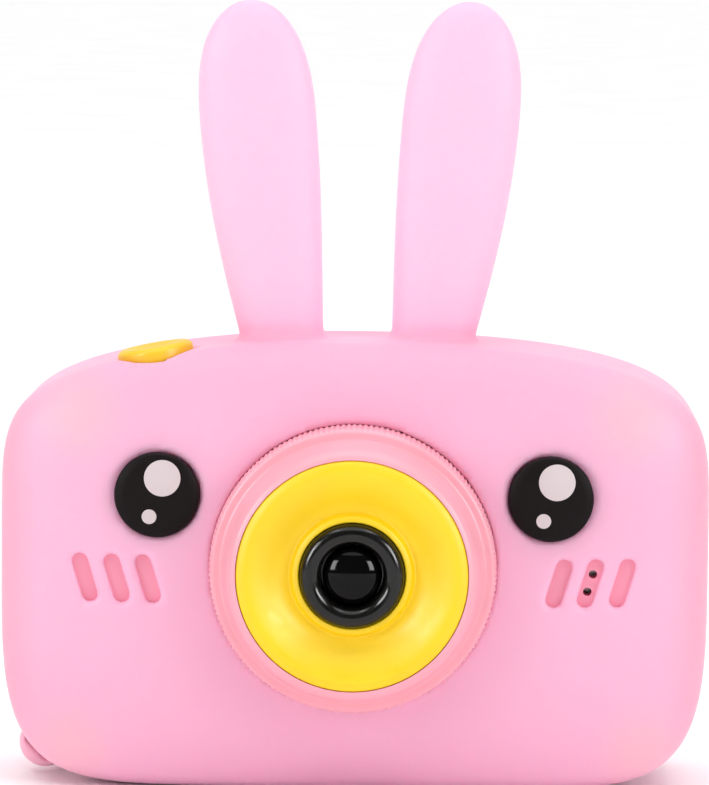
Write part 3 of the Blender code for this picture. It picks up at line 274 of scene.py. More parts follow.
def board_material(name):
    """Green solder mask with fine copper tracks just showing through, and pale pads."""
    made = Surface(name, 0.35, coat_weight=0.3, coat_roughness=0.15)
    bricks = {"Vector": made.place, "Scale": 260.0, "Randomness": 0.9}
    cells = made.node("ShaderNodeTexVoronoi", bricks, distance="CHEBYCHEV", feature="F1").outputs["Distance"]
    tracks = made.math("PINGPONG", made.math("MULTIPLY", cells, 6.0), 1.0)
    ground = made.mix(made.span(tracks, 0.42, 0.5), (18, 84, 52), (34, 116, 70))
    pads = made.node("ShaderNodeTexVoronoi", {"Vector": made.place, "Scale": 700.0}).outputs["Distance"]
    made.colour(made.mix(made.span(pads, 0.13, 0.1), ground, (196, 190, 150)))
    made.roughen(made.span(made.noise(600), 0.3, 0.7, 0.28, 0.45))
    made.bump(tracks, 0.00003, 0.6)
    return made.material


def foam(name, rgb):
    """Open-cell foam."""
    made = Surface(name, 0.95)
    cells = made.node("ShaderNodeTexVoronoi", {"Vector": made.place, "Scale": 2200.0}).outputs["Distance"]
    made.colour(made.mix(made.span(cells, 0.1, 0.5), [c * 0.55 for c in rgb], rgb))
    made.bump(cells, 0.00012)
    return made.material


def foil(name, rgb):
    """The battery's wrapped foil pouch."""
    made = Surface(name, 0.35, metallic=0.6)
    made.roughen(made.span(made.noise(700), 0.3, 0.7, 0.28, 0.48))
    return mottled(made, rgb, made.noise(160, 5, 0.6), 0.00012)


def sleeving(name, rgb):
    """The insulation of a thin lead."""
    made = Surface(name, 0.45)
    made.bump(made.noise(3000, 2), 0.00002)
    return mottled(made, rgb, made.noise(500))


def mottled(made, rgb, pattern, relief=0):
    """The material's colour, darker by 15 percent where the pattern is low."""
    made.colour(made.mix(made.span(pattern, 0.3, 0.7), [c * 0.85 for c in rgb], rgb))
    if relief:
        made.bump(pattern, relief)
    return made.material


def ribbon_material(name):
    """Amber film with copper tracks along it."""
    made = Surface(name, 0.3, coat_weight=0.4, coat_roughness=0.1)
    across = made.math("MULTIPLY", made.axis("X"), 1600.0)
    tracks = made.span(made.math("PINGPONG", across, 1.0), 0.45, 0.55)
    made.colour(made.mix(tracks, (176, 104, 30), (214, 146, 66)))
    made.bump(tracks, 0.00003)
    return made.material


PINK_HARD = plastic("pink_hard_plastic", (255, 176, 190), 0.34, 0.03)
PINK_LOOP = plastic("pink_loop_plastic", (255, 188, 210), 0.36, 0.03)
PINK_CASE = plastic("pink_case_plastic", (250, 160, 184), 0.4, 0.03)
PINK_RING = plastic("pink_ring_plastic", (252, 171, 186), 0.38, 0.03)
YELLOW = plastic("yellow_plastic", (254, 214, 4), 0.47, 0.03)
YELLOW_BUTTON = plastic("yellow_button_plastic", (245, 199, 22), 0.42, 0.04)
SILICONE = silicone("sleeve_silicone_skin")
BLACK_GLOSS = clear_black("black_gloss_barrel", (9, 8, 7), 0.18, specular_ior_level=0.38)
BLACK_MATT = plastic("black_matt_plastic", (20, 19, 19), 0.55, 0.1)
DOME_GLASS = clear_black("coated_dome_glass", (3, 3, 4), 0.05, specular_ior_level=0.15)
EYE_BLACK = plastic("eye_black_plastic", (20, 13, 14), 0.5, 0.08, 0.000008, specular_ior_level=0.11)
DOT_PRINT = plastic("eye_dot_print", (212, 199, 201), 0.5, 0.03, 0.000006)
SCREEN_GLASS = screen_glass("screen_window_gloss")
DISPLAY = clear_black("display_surface", (40, 44, 52), 0.22)
MARK_PINK = plastic("mark_pink_plastic", (232, 120, 150), 0.45, 0.04)
MARK_WHITE = plastic("mark_white_plastic", (250, 246, 240), 0.45, 0.03)
STEEL = metal("plated_steel", (196, 196, 198))
GOLD = metal("contact_gold", (226, 178, 84), 0.25)
BOARD = board_material("board_solder_mask")
CHIP = plastic("moulded_black_epoxy", (30, 30, 32), 0.6, 0.12, 0.00003, 1800.0)
FOAM = foam("grey_foam", (88, 90, 94))
FOIL = foil("battery_pouch_foil", (190, 194, 200))
SWITCH = plastic("switch_body_plastic", (226, 224, 216), 0.45, 0.05)
RED_LEAD = sleeving("red_lead_sleeving", (196, 30, 34))
BLACK_LEAD = sleeving("black_lead_sleeving", (26, 26, 28))
RIBBON = ribbon_material("amber_ribbon_film")

KEPT_NODES = {
    FOIL: ["battery"],
    BLACK_LEAD: ["battery_lead_black"],
    RED_LEAD: ["battery_lead_red"],
    FOAM: ["battery_pad", "speaker_gasket"],
    STEEL: ["board_screw_1", "board_screw_2", "card_socket", "microphone", "usb_connector"],
    BLACK_MATT: ["camera_lens_holder", "selfie_module", "speaker"],
    RIBBON: ["camera_ribbon", "display_ribbon"],
    BOARD: ["camera_sensor_board", "main_board", "shutter_board"],
    DISPLAY: ["lcd_module"],
    CHIP: ["memory_chip", "processor_chip"],
    SWITCH: [f"{key}_switch" for key in ("shutter", *PAD_DIRECTIONS, "ok", *SMALL_X)],
}


# Pieces.


def closed_mesh(name, points, faces):
    """A mesh from points in millimetres, with its faces pointing out."""
    mesh = bpy.data.meshes.new(name)
    mesh.from_pydata([tuple(c * MM for c in p) for p in points], [], [tuple(f) for f in faces])
    shape = bmesh.new()
    shape.from_mesh(mesh)
    bmesh.ops.remove_doubles(shape, verts=shape.verts, dist=1e-7)
    bmesh.ops.recalc_face_normals(shape, faces=shape.faces)
    if shape.calc_volume(signed=True) < 0:
        bmesh.ops.reverse_faces(shape, faces=shape.faces)
    shape.to_mesh(mesh)
    shape.free()
    return mesh


def in_scene(name, data):
    thing = bpy.data.objects.new(name, data)
    bpy.context.scene.collection.objects.link(thing)
    return thing


def put(name, mesh, place):
    """A new object with its origin at a place in millimetres."""
    thing = in_scene(name, mesh)
    thing.location = [c * MM for c in place]
    return thing


def shade(mesh, sharp):
    mesh.shade_smooth()
    mesh.set_sharp_from_angle(angle=math.radians(sharp))


def make_piece(name, points, faces, material, nodes=(), body=ROOT, place=(0, 0, 0), sharp=40):
    """A mesh piece from points in millimetres, which rides on a body and stands for CAD nodes."""
    return finish_piece(name, closed_mesh(name, points, faces), material, nodes, body, place, sharp)


def turned_piece(name, profile, sides, material, node, place, sharp=60, wobble=None):
    points, faces = lathe(profile, sides, wobble)
    make_piece(name, points, faces, material, node, place=place, sharp=sharp)


def finish_piece(name, mesh, material, nodes=(), body=ROOT, place=(0, 0, 0), sharp=40):
    shade(mesh, sharp)
    mesh.materials.append(material)
    thing = put(name, mesh, place)
    if nodes:
        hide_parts(*([nodes] if isinstance(nodes, str) else nodes))
    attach(thing, body)
    return thing


def filleted(points, radius, steps=4, closed=False):
    """A polyline with each corner turned into an arc. A point may carry its own radius third."""
    points = [tuple(p) for p in points]
    out = []
    count = len(points)
    for k, point in enumerate(points):
        own = point[2] if len(point) > 2 else radius
        if not closed and k in (0, count - 1):
            out.append(point[:2])
            continue
        here = np.array(point[:2], float)
        before = np.array(points[k - 1][:2], float) - here
        after = np.array(points[(k + 1) % count][:2], float) - here
        lengths = np.linalg.norm(before), np.linalg.norm(after)
        if own <= 0 or min(lengths) < 1e-6:
            out.append(tuple(here))
            continue
        u, v = before / lengths[0], after / lengths[1]
        half = math.acos(max(-1, min(1, float(u @ v)))) / 2
        if half > math.radians(88):
            out.append(tuple(here))
            continue
        reach = min(own / math.tan(half), 0.48 * min(lengths))
        r = reach * math.tan(half)
        centre = here + (u + v) / np.linalg.norm(u + v) * (r / math.sin(half))
        start = here + u * reach - centre
        sweep = math.pi - 2 * half
        side = 1 if u[0] * v[1] - u[1] * v[0] < 0 else -1
        for step in range(steps + 1):
            a = side * sweep * step / steps
            c, s = math.cos(a), math.sin(a)
            out.append((centre[0] + start[0] * c - start[1] * s, centre[1] + start[0] * s + start[1] * c))
    return out


def lathe(profile, sides=160, wobble=None):
    """Points and faces of a profile of (radius, along) turned about Y. A profile that starts off the
    axis is a closed ring. wobble(angle, k) adds to the radius of point k."""
    points, faces = [], []
    closed = profile[0][0] > 1e-6
    count = len(profile)
    for n in range(sides):
        a = math.tau * n / sides
        for k, (r, y) in enumerate(profile):
            reach = r + (wobble(a, k) if wobble else 0)
            points.append((reach * math.cos(a), y, reach * math.sin(a)))
    for n in range(sides):
        m = (n + 1) % sides
        for k in range(count if closed else count - 1):
            j = (k + 1) % count
            corners = [n * count + k, n * count + j, m * count + j, m * count + k]
            spots = {tuple(round(c, 6) for c in points[i]): i for i in corners}
            if len(spots) > 2:
                faces.append(list(dict.fromkeys(spots.values())))
    return points, faces


def skin(rings, caps=True):
    """Points and faces over rings of the same number of points."""
    points = [p for ring in rings for p in ring]
    count = len(rings[0])
    faces = []
    for r in range(len(rings) - 1):
        for k in range(count):
            j = (k + 1) % count
            faces.append([r * count + k, r * count + j, (r + 1) * count + j, (r + 1) * count + k])
    if caps:
        faces.append(list(range(count)))
        faces.append(list(range((len(rings) - 1) * count, len(rings) * count)))
    return points, faces


def offset(outline, distance):
    """A counter-clockwise outline moved outwards along its corners' normals."""
    pts = np.array(outline, float)
    before, after = np.roll(pts, 1, 0), np.roll(pts, -1, 0)
    tangent = after - before
    normal = np.stack([tangent[:, 1], -tangent[:, 0]], 1)
    normal /= np.linalg.norm(normal, axis=1)[:, None]
    return [tuple(p) for p in pts + normal * distance]


def rounded_rectangle(width, height, radius, steps=8):
    half_w, half_h = width / 2, height / 2
    corners = [(-half_w, -half_h), (half_w, -half_h), (half_w, half_h), (-half_w, half_h)]
    return filleted(corners, radius, steps, closed=True)


def polar(radius, angle):
    return radius * math.cos(angle), radius * math.sin(angle)


def disc_outline(radius, sides=72):
    return [polar(radius, math.tau * k / sides) for k in range(sides)]


def drawn_in(outline, stations, along_x=False):
    """Rings of an outline at stations of (place along Y, or along X, and inset)."""
    rings = []
    for place, inset in stations:
        ring = offset(outline, -inset)
        rings.append([(place, u, v) if along_x else (u, place, v) for u, v in ring])
    return rings


def cushion(outline, low, high, edge=0.3, crown=0.0, steps=4):
    """Rings of (x, z) outline from low to high along Y, with a rounded edge and a crowned top."""
    rings = [(outline, low)]
    for k in range(steps + 1):
        a = math.pi / 2 * k / steps
        rings.append((offset(outline, -edge * (1 - math.cos(a))), high - edge * (1 - math.sin(a))))
    if crown:
        top = rings[-1][0]
        middle = np.mean(top, axis=0)
        for k in range(1, 7):
            share = k / 6.2
            ring = [tuple(middle + (np.array(p) - middle) * (1 - share)) for p in top]
            rings.append((ring, high + crown * (1 - (1 - share) ** 2)))
    return [[(x, y, z) for x, z in ring] for ring, y in rings]


def turn_y(points, angle):
    """Points turned about Y, so that a positive angle takes +Z towards +X."""
    c, s = math.cos(angle), math.sin(angle)
    return [(x * c + z * s, y, z * c - x * s) for x, y, z in points]


def modify(thing, name, kind, **settings):
    made = thing.modifiers.new(name, kind)
    for key, value in settings.items():
        setattr(made, key, value)


def booleans(thing, cutters, operation="DIFFERENCE"):
    """thing's mesh with the cutters taken away, or added, for good."""
    for cutter in cutters:
        modify(thing, "cut", "BOOLEAN", operation=operation, solver="EXACT", object=cutter)
    apply_modifiers(thing)
    for cutter in cutters:
        bpy.data.objects.remove(cutter)


def apply_modifiers(thing):
    bpy.context.view_layer.update()
    graph = bpy.context.evaluated_depsgraph_get()
    mesh = bpy.data.meshes.new_from_object(thing.evaluated_get(graph))
    thing.modifiers.clear()
    thing.data = mesh


def tool(points, faces, place=(0, 0, 0)):
    """A cutter."""
    return put("tool", closed_mesh("tool", points, faces), place)


def prism(outline, low, high, place=(0, 0, 0)):
    return tool(*skin([[(x, y, z) for x, z in outline] for y in (low, high)]), place)


# The sleeve as a distance field.


def outline_share(x, z, half_width, half_height):
    """How large a share of the body's outline passes through each point, and the share's gradient."""
    up = z >= 0
    p = np.where(up, UPPER[0], LOWER[0])
    q = np.where(up, UPPER[1], LOWER[1])
    across = np.maximum(np.abs(x) / half_width, 1e-6)
    tall = np.maximum(np.abs(z) / half_height, 1e-6)
    low = np.maximum(across, tall) * 0.98
    high = (across + tall) * 1.02
    for _ in range(26):
        middle = (low + high) / 2
        outside = (across / middle) ** p + (tall / middle) ** q > 1
        low = np.where(outside, middle, low)
        high = np.where(outside, high, middle)
    s = (low + high) / 2
    a, b = (across / s) ** p, (tall / s) ** q
    by_s = (p * a + q * b) / s
    by_x = p * a / (across * half_width)
    by_z = q * b / (tall * half_height)
    return s, np.sqrt(by_x**2 + by_z**2) / by_s


def pillow_distance(x, y, z, inset):
    """About how far each point lies outside the body's rounded shape, inset all round."""
    s, slope = outline_share(x, z - CENTRE_Z, HALF_WIDTH - inset, HALF_HEIGHT - inset)
    distances = []
    for side, depth, power in ((-1, FRONT_DEPTH, 3.0), (1, REAR_DEPTH, 5.0)):
        reach = depth - inset - STRAIGHT_DEPTH
        t = np.maximum(side * y - STRAIGHT_DEPTH, 0) / reach
        whole = (s**power + t**power) ** (1 / power)
        by_s = (s / whole) ** (power - 1) * slope
        by_t = (t / whole) ** (power - 1) / reach
        distances.append((whole - 1) / np.maximum(np.sqrt(by_s**2 + by_t**2), 1e-4))
    return np.where(y < 0, distances[0], distances[1])


def ear_distance(x, y, z, side):
    height = z - 2 * HALF_HEIGHT
    share = np.clip(height / EAR_HEIGHT, 0, 1.2)
    swell = np.sin(math.pi / 2 * np.minimum(share / EAR_WIDEST, 1))
    half_width = 5.5 + 2.24 * swell
    thickness = 3.7 * (1 - 0.12 * share)
    centre = 10.05 + 0.150 * height - 0.00115 * height * height
    across = np.maximum(np.abs(side * x - centre) / half_width, 1e-5)
    deep = np.maximum(np.abs(y - 1) / thickness, 1e-5)
    section = (across**2.4 + deep**2.4) ** (1 / 2.4)
    rise = np.maximum((height / EAR_HEIGHT - EAR_WIDEST) / (1 - EAR_WIDEST), 0)
    whole = np.sqrt(section**2 + rise**2.6)
    by_x = (across / section) ** 1.4 / half_width
    by_y = (deep / section) ** 1.4 / thickness
    by_z = 1.3 * rise**1.6 / whole / (EAR_HEIGHT * (1 - EAR_WIDEST))
    slope = np.sqrt((section / whole) ** 2 * (by_x**2 + by_y**2) + by_z**2)
    return np.maximum((whole - 1) / np.maximum(slope, 1e-3), -height - 4)


def smooth_max(a, b, k):
    h = np.maximum(k - np.abs(a - b), 0) / k
    return np.maximum(a, b) + h * h * k / 4


def smooth_min(a, b, k):
    return -smooth_max(-a, -b, k)


def box_distance(u, v, half_u, half_v, radius):
    """Distance from a rounded rectangle."""
    du, dv = np.abs(u) - half_u + radius, np.abs(v) - half_v + radius
    outside = np.sqrt(np.maximum(du, 0) ** 2 + np.maximum(dv, 0) ** 2)
    return outside + np.minimum(np.maximum(du, dv), 0) - radius


def pill_distance(u, v, length, width):
    rest = np.maximum(np.abs(v) - (length - width) / 2, 0)
    return np.sqrt(u * u + rest * rest) - width / 2


def eased(value, start, end):
    """0 before start, 1 after end, and a smooth rise between them."""
    share = np.clip((value - start) / (end - start), 0, 1)
    return share * share * (3 - 2 * share)


def sleeve_distance(x, y, z):
    shoulder = SHOULDER_DROP * eased(-x, 8, 28) * eased(y, -9, -3) * eased(z, 42, 55)
    d = pillow_distance(x, y, z + shoulder, 0)
    ears = np.minimum(ear_distance(x, y, z, -1), ear_distance(x, y, z, 1))
    d = smooth_min(d, ears, 1.5)
    d = np.maximum(d, -pillow_distance(x, y, z, WALL))
    lens = np.maximum(np.sqrt(x * x + (z - LENS_Z) ** 2) - LENS_OPENING, y + 8)
    d = smooth_max(d, -lens, 0.4)
    s, slope = outline_share(x, z - CENTRE_Z, *REAR_OPENING)
    rear = np.maximum((s - 1) / slope, 8 - y)
    d = smooth_max(d, -rear, 1.4)
    for side in (-1, 1):
        reach = np.sqrt((x - side * EYE_X) ** 2 + (z - EYE_Z) ** 2)
        d = smooth_max(d, -np.maximum(reach - EYE_RADIUS - 0.06, y + 14.4), 0.35)
        d = np.maximum(d, -np.maximum(reach - EYE_HOLE, y + 8))
        for place in SLOT_PLACES_X:
            u, v = side * x - place, z - SLOT_Z
            c, s = math.cos(SLOT_TILT), math.sin(SLOT_TILT)
            slot = np.maximum(pill_distance(u * c - v * s, v * c + u * s, SLOT_LENGTH, SLOT_WIDTH), y + 8)
            d = smooth_max(d, -slot, 0.7)
    c, s = math.cos(SHUTTER_TILT), math.sin(SHUTTER_TILT)
    u, v = x - SHUTTER[0], z - SHUTTER[2]
    hole = np.maximum(np.sqrt((u * c - v * s) ** 2 + (y - SHUTTER[1]) ** 2) - 5.3, -5 - v)
    d = smooth_max(d, -hole, 0.8)
    usb = np.maximum(box_distance(y - PORT_Y, z - USB_Z - 0.2, 4.0, 7.4, 2.0), 40 - x)
    d = smooth_max(d, -usb, 0.7)
    card = np.maximum(box_distance(y - PORT_Y, z - CARD_Z, 3.0, 7.2, 2.4), 40 - x)
    d = smooth_max(d, -card, 0.9)
    right, up = x - EYELET[0], z - EYELET[2]
    inwards, across = (right + up) / math.sqrt(2), (right - up) / math.sqrt(2)
    notch = np.maximum(box_distance(across, y, 4.0, 2.3, 0.8), inwards - 5)
    return smooth_max(d, -notch, 0.8)


def surface_net(distance, low, high, pitch):
    """Points and four-sided faces of the surface where a distance field is zero."""
    axes = [np.arange(a, b + pitch, pitch) for a, b in zip(low, high)]
    x, y, z = axes[0][:, None, None], axes[1][None, :, None], axes[2][None, None, :]
    field = np.broadcast_to(distance(x, y, z), [len(a) for a in axes]).astype(np.float32)
    inside = field < 0
    halves = [slice(0, -1), slice(1, None)]
    total = sum(inside[part].astype(np.int8) for part in itertools.product(halves, repeat=3))
    cells = np.argwhere((total > 0) & (total < 8))
    index = -np.ones(total.shape, np.int64)
    index[tuple(cells.T)] = np.arange(len(cells))
    places, hits = np.zeros((len(cells), 3)), np.zeros(len(cells))
    for axis in range(3):
        others = [n for n in range(3) if n != axis]
        for corner in itertools.product((0, 1), repeat=2):
            start = cells.copy()
            start[:, others] += corner
            end = start.copy()
            end[:, axis] += 1
            near, far = field[tuple(start.T)], field[tuple(end.T)]
            crossed = (near < 0) != (far < 0)
            spot = start.astype(float)
            spot[:, axis] += np.where(crossed, near / np.where(crossed, near - far, 1), 0)
            places += np.where(crossed[:, None], spot, 0)
            hits += crossed
    points = places / hits[:, None] * pitch + np.array([a[0] for a in axes])
    faces = []
    for axis in range(3):
        u, v = [n for n in range(3) if n != axis]
        first = [slice(1, -1)] * 3
        second = [slice(1, -1)] * 3
        first[axis], second[axis] = slice(0, -1), slice(1, None)
        spots = np.argwhere(inside[tuple(first)] != inside[tuple(second)])
        spots[:, [u, v]] += 1
        outwards = inside[tuple(spots.T)]
        corners = []
        for corner in ((1, 1), (0, 1), (0, 0), (1, 0)):
            cell = spots.copy()
            cell[:, [u, v]] -= corner
            corners.append(index[tuple(cell.T)])
        quads = np.stack(corners, 1)
        turn = outwards if axis != 1 else ~outwards
        quads[~turn] = quads[~turn][:, ::-1]
        faces.append(quads)
    faces = np.concatenate(faces)
    return settle_points(distance, points), faces[(faces >= 0).all(1)]


def settle_points(distance, points, rounds=3, step=0.04):
    """The points moved along the field's slope onto its zero surface."""
    for _ in range(rounds):
        value = distance(*points.T)
        ends = [distance(*(points + move).T) - distance(*(points - move).T) for move in np.eye(3) * step]
        slope = np.stack(ends, 1) / (2 * step)
        size = np.maximum((slope**2).sum(1), 0.05)
        points = points - np.clip(value / size, -0.2, 0.2)[:, None] * slope
    return points


def soft_piece(name, distance, low, high, pitch, material, nodes, place=(0, 0, 0)):
    """A piece with soft edges throughout, skinned over a distance field."""
    points, faces = surface_net(distance, low, high, pitch)
    mesh = bpy.data.meshes.new(name)
    mesh.from_pydata((points * MM).tolist(), [], faces.tolist())
    mesh.update()
    return finish_piece(name, mesh, material, nodes, place=place, sharp=180)


def make_sleeve():
    low, high = (-48, -17.5, -1.5), (48, 18, 2 * HALF_HEIGHT + EAR_HEIGHT + 1.5)
    soft_piece("sleeve", sleeve_distance, low, high, 0.62, SILICONE, "silicone_sleeve")


# Lens.


def make_ring():
    """The ring with its fine ribs round the edge, a shallow groove and a cone up to the funnel."""
    ribs, per_rib = 160, 5
    profile = [(RING_INNER, LENS_BASE_Y, 0), (18.3, LENS_BASE_Y, 0.2), (18.3, -14.4, 0)]
    profile += [(18.65, -14.6, 0.15), (18.65, -19.35, 0.45), (18.15, -19.95, 0.5), (17.3, -20.0, 0.5)]
    profile += [(17.0, -20.15, 0.4), (16.75, -21.3, 1.6), (16.2, -23.3, 2.0), (15.6, -24.15, 0.8)]
    profile = filleted([*profile, (RING_INNER, -24.35, 0.15)], 0.2, 7)
    reach = [r if r > 18.4 else 0 for r, _ in profile]

    def rib(angle, k):
        if not reach[k]:
            return 0
        depth = 0.2 * min(1, (reach[k] - 18.4) / 0.2)
        return -depth * (0.5 - 0.5 * math.cos(angle * ribs)) ** 1.4

    sides = ribs * per_rib
    turned_piece("knurled_ring", profile, sides, PINK_RING, "lens_ring", LENS_PLACE, wobble=rib)


def make_funnel():
    """A bell that sinks from its round rim to a thin lip at the barrel."""
    foot = [(LIP_RADIUS, LENS_BASE_Y, 0), (FUNNEL_RADIUS, LENS_BASE_Y, 0.2)]
    rim = [(FUNNEL_RADIUS, -24.3, 0.6), (14.2, -24.84, 0.9)]
    profile = filleted(foot + rim, 0.3, 6)[:-1]
    for k in range(33):
        t = k / 32
        fall = t * t * (3 - 2 * t)
        ripple = 0.035 * math.sin(t * 9.5) * t
        profile.append((13.9 - 5.4 * t, -24.88 + 2.5 * (0.75 * fall + 0.25 * t**2.2) + ripple))
    lip = [profile[-1], (8.1, -22.3, 0.35), (7.65, -23.45, 0.25), (LIP_RADIUS, -23.75, 0.2)]
    profile += filleted([*lip, (LIP_RADIUS, LENS_BASE_Y, 0)], 0.3, 5)[1:-1]
    turned_piece("yellow_funnel", profile, 192, YELLOW, "lens_funnel", LENS_PLACE)


def make_barrel():
    """The barrel with its round front edge, and the domed glass in its bore."""
    bore, edge = 3.0, 1.33
    profile = [(bore, -13.0), (4.9, -13.0), (4.9, LENS_BASE_Y), (BARREL_RADIUS, LENS_BASE_Y)]
    for k in range(21):
        a = math.radians(-8 + 200 * k / 20)
        profile.append((BARREL_RADIUS - edge + edge * math.cos(a), -23.65 - edge * math.sin(a)))
    profile += filleted([profile[-1], (4.08, -22.6, 0.3), (4.0, -21.4, 0), (bore, -21.4, 0)], 0.2, 4)[1:]
    turned_piece("black_barrel", profile, 144, BLACK_GLOSS, "lens_barrel", LENS_PLACE)
    dome = [(0, -21.7), (DOME_RADIUS, -21.7)]
    rim, height = -22.9, 2.0
    for k in range(25):
        a = math.pi / 2 * k / 24
        dome.append((DOME_RADIUS * math.cos(a), rim - height * math.sin(a)))
    turned_piece("dome_glass", dome, 128, DOME_GLASS, "lens_glass", LENS_PLACE)


def eye_height(r):
    """How far the eye's face stands at a distance from its centre."""
    return -16.42 - 0.48 * math.sqrt(max(0, 1 - (r / (EYE_RADIUS * 1.02)) ** 2))


def make_eye(name, side):
    """A black disc with a soft rim, a stem through the sleeve, and two printed dots."""
    place = (side * EYE_X, 0, EYE_Z)
    edge = EYE_RADIUS
    profile = [(0, -13.2), (2.5, -13.2), (2.5, -14.7), (edge - 0.3, -14.7), (edge, -15.0), (edge, -15.9)]
    for k in range(1, 7):
        a = math.pi / 2 * k / 6
        profile.append((edge - 0.45 * (1 - math.cos(a)), -15.9 - 0.6 * math.sin(a)))
    for k in range(1, 13):
        r = (edge - 0.45) * (1 - k / 12)
        profile.append((r, min(-16.5, eye_height(r))))
    turned_piece(f"{name}_cap", profile, 128, EYE_BLACK, name, place, 50)
    for label, radius, x, z in (("large", 2.37, 0.74, 2.3), ("small", 0.96, -0.94, -2.75)):
        rings = []
        for r, lift in ((radius, -0.02), (radius, 0.02), (radius - 0.05, 0.035), (radius * 0.5, 0.035)):
            ring = []
            for k in range(64):
                a = math.tau * k / 64
                u, v = x + r * math.cos(a), z + r * math.sin(a)
                ring.append((u, min(-16.5, eye_height(math.hypot(u, v))) - lift, v))
            rings.append(ring)
        make_piece(f"{name}_{label}_dot", *skin(rings), DOT_PRINT, place=place, sharp=60)


# Buttons.


def make_shutter():
    """The button's dished cap and its stepped stem, turned and then laid square to the shoulder."""
    profile = [(0, -8.2, 0), (2.2, -8.2, 0.2), (2.2, -6.5, 0), (3.1, -6.5, 0.1), (3.1, -5.3, 0.1)]
    profile += [(2.2, -5.3, 0), (2.2, -1.0, 0), (5.0, -1.0, 0.2), (5.0, 0.62, 0.5), (4.3, 1.08, 0.5)]
    profile += [(3.5, 1.0, 0.6), (2.2, 0.72, 1.5), (0, 0.62, 0)]
    points, faces = lathe(filleted(profile, 0.2, 5), 128)
    points = turn_y([(x, z, y) for x, y, z in points], SHUTTER_TILT)
    name = "shutter_button"
    make_piece("shutter_cap", points, faces, YELLOW_BUTTON, name, name, SHUTTER, 55)


def pad_outline(direction, grow=0.0):
    """One curved button of the pad: a ring's sector with rounded corners."""
    outer, inner = PAD_OUTER + grow, PAD_INNER - grow
    spread = [k / 10 - 1 for k in range(21)]
    corners = [(outer, share * (PAD_HALF_ANGLE + grow / outer)) for share in spread]
    corners += [(inner, share * (PAD_HALF_ANGLE + grow / inner)) for share in reversed(spread)]
    flat = [polar(r, direction + a) for r, a in corners]
    radii = {0: 0.9, 20: 0.9, 21: 0.7, 41: 0.7}
    return filleted([(*p, radii.get(k, 0)) for k, p in enumerate(flat)], 0, 5, closed=True)


def make_rear_buttons():
    """The four-way pad round its centre button, and the two small buttons above it."""
    pad = (PAD_X, 0, PAD_Z)
    for name, direction in PAD_DIRECTIONS.items():
        make_button(name, pad_outline(direction), pad, YELLOW_BUTTON, 0.22)
        arrow = filleted([(8.35, 0), (6.75, 1.25), (6.75, -1.25)], 0.25, 4, closed=True)
        c, s = math.cos(direction), math.sin(direction)
        arrow = [(x * c - z * s, x * s + z * c) for x, z in arrow]
        make_mark(f"{name}_arrow", arrow, 14.49, MARK_PINK, f"{name}_button", pad)
    make_button("ok", disc_outline(OK_RADIUS), pad, YELLOW_BUTTON, 0.18)
    make_mark("ok_dot", disc_outline(0.95, 40), 14.46, MARK_PINK, "ok_button", pad)
    small = {name: (x, 0, SMALL_Z) for name, x in SMALL_X.items()}
    for name, place in small.items():
        make_button(name, disc_outline(SMALL_RADIUS), place, PINK_HARD, 0.16)
    bar = [(x, z + 0.55) for x, z in rounded_rectangle(0.36, 1.3, 0.17, 5)]
    make_mark("power_bar", bar, 14.44, MARK_WHITE, "power_button", small["power"])
    arc = []
    for radius, order in ((1.3, 1), (0.95, -1)):
        angles = [math.radians(90 + 35 + 290 * k / 30) for k in range(31)][::order]
        arc += [polar(radius, a) for a in angles]
    make_mark("power_arc", arc, 14.44, MARK_WHITE, "power_button", small["power"])
    frame_outline = rounded_rectangle(2.3, 1.6, 0.3, 5)
    make_mark("mode_frame", frame_outline, 14.44, MARK_WHITE, "mode_button", small["mode"])


def make_button(name, outline, place, material, crown):
    """A rear button: stem, flange and a crowned cap."""
    flange = 0.4 if name in PAD_DIRECTIONS else 0.65
    rings = drawn_in(outline, ((7.9, 1.1), (10.5, 1.1), (10.5, -flange), (11.3, -flange)))
    rings += cushion(outline, 11.3, 14.25, 0.4, crown, 5)
    make_piece(f"{name}_cap", *skin(rings), material, f"{name}_button", f"{name}_button", place)


def make_mark(name, outline, high, material, body, place):
    """A small raised sign on a button."""
    rings = drawn_in(outline, ((high - 0.35, 0), (high, 0), (high + 0.06, 0.06)))
    make_piece(f"{name}_mark", *skin(rings), material, (), body, place)


# Shells and rear.


def pillow_rings(inset, side, sides=200, steps=20, limit=99.0, last=86):
    """Rings of the body's outline, from the middle plane outwards to one side."""
    a, b = HALF_WIDTH - inset, HALF_HEIGHT - inset
    depth, power = (FRONT_DEPTH, 3.0) if side < 0 else (REAR_DEPTH, 5.0)
    directions = np.array(disc_outline(1, sides))
    share, _ = outline_share(directions[:, 0], directions[:, 1], a, b)
    outline = directions / share[:, None]
    reach = depth - inset - STRAIGHT_DEPTH
    stations = [(side * 0.15, 1.0), (side * STRAIGHT_DEPTH, 1.0)]
    for k in range(1, steps + 1):
        t = math.radians(last) * k / steps
        y = STRAIGHT_DEPTH + reach * math.sin(t) ** (2 / power)
        size = math.cos(t) ** (2 / power)
        if y > limit:
            size = (1 - ((limit - STRAIGHT_DEPTH) / reach) ** power) ** (1 / power)
            stations.append((side * limit, size))
            break
        stations.append((side * y, size))
    return [[(x * size, y, z * size + CENTRE_Z) for x, z in outline] for y, size in stations]


def cavity(side, steps, limit=99.0):
    """Rings of a case's inside, which start beyond its open edge."""
    rings = pillow_rings(SHELL_INSET + SHELL_WALL, side, 120, steps, limit)
    return [[(x, -2 * side, z) for x, _, z in rings[0]], *rings]


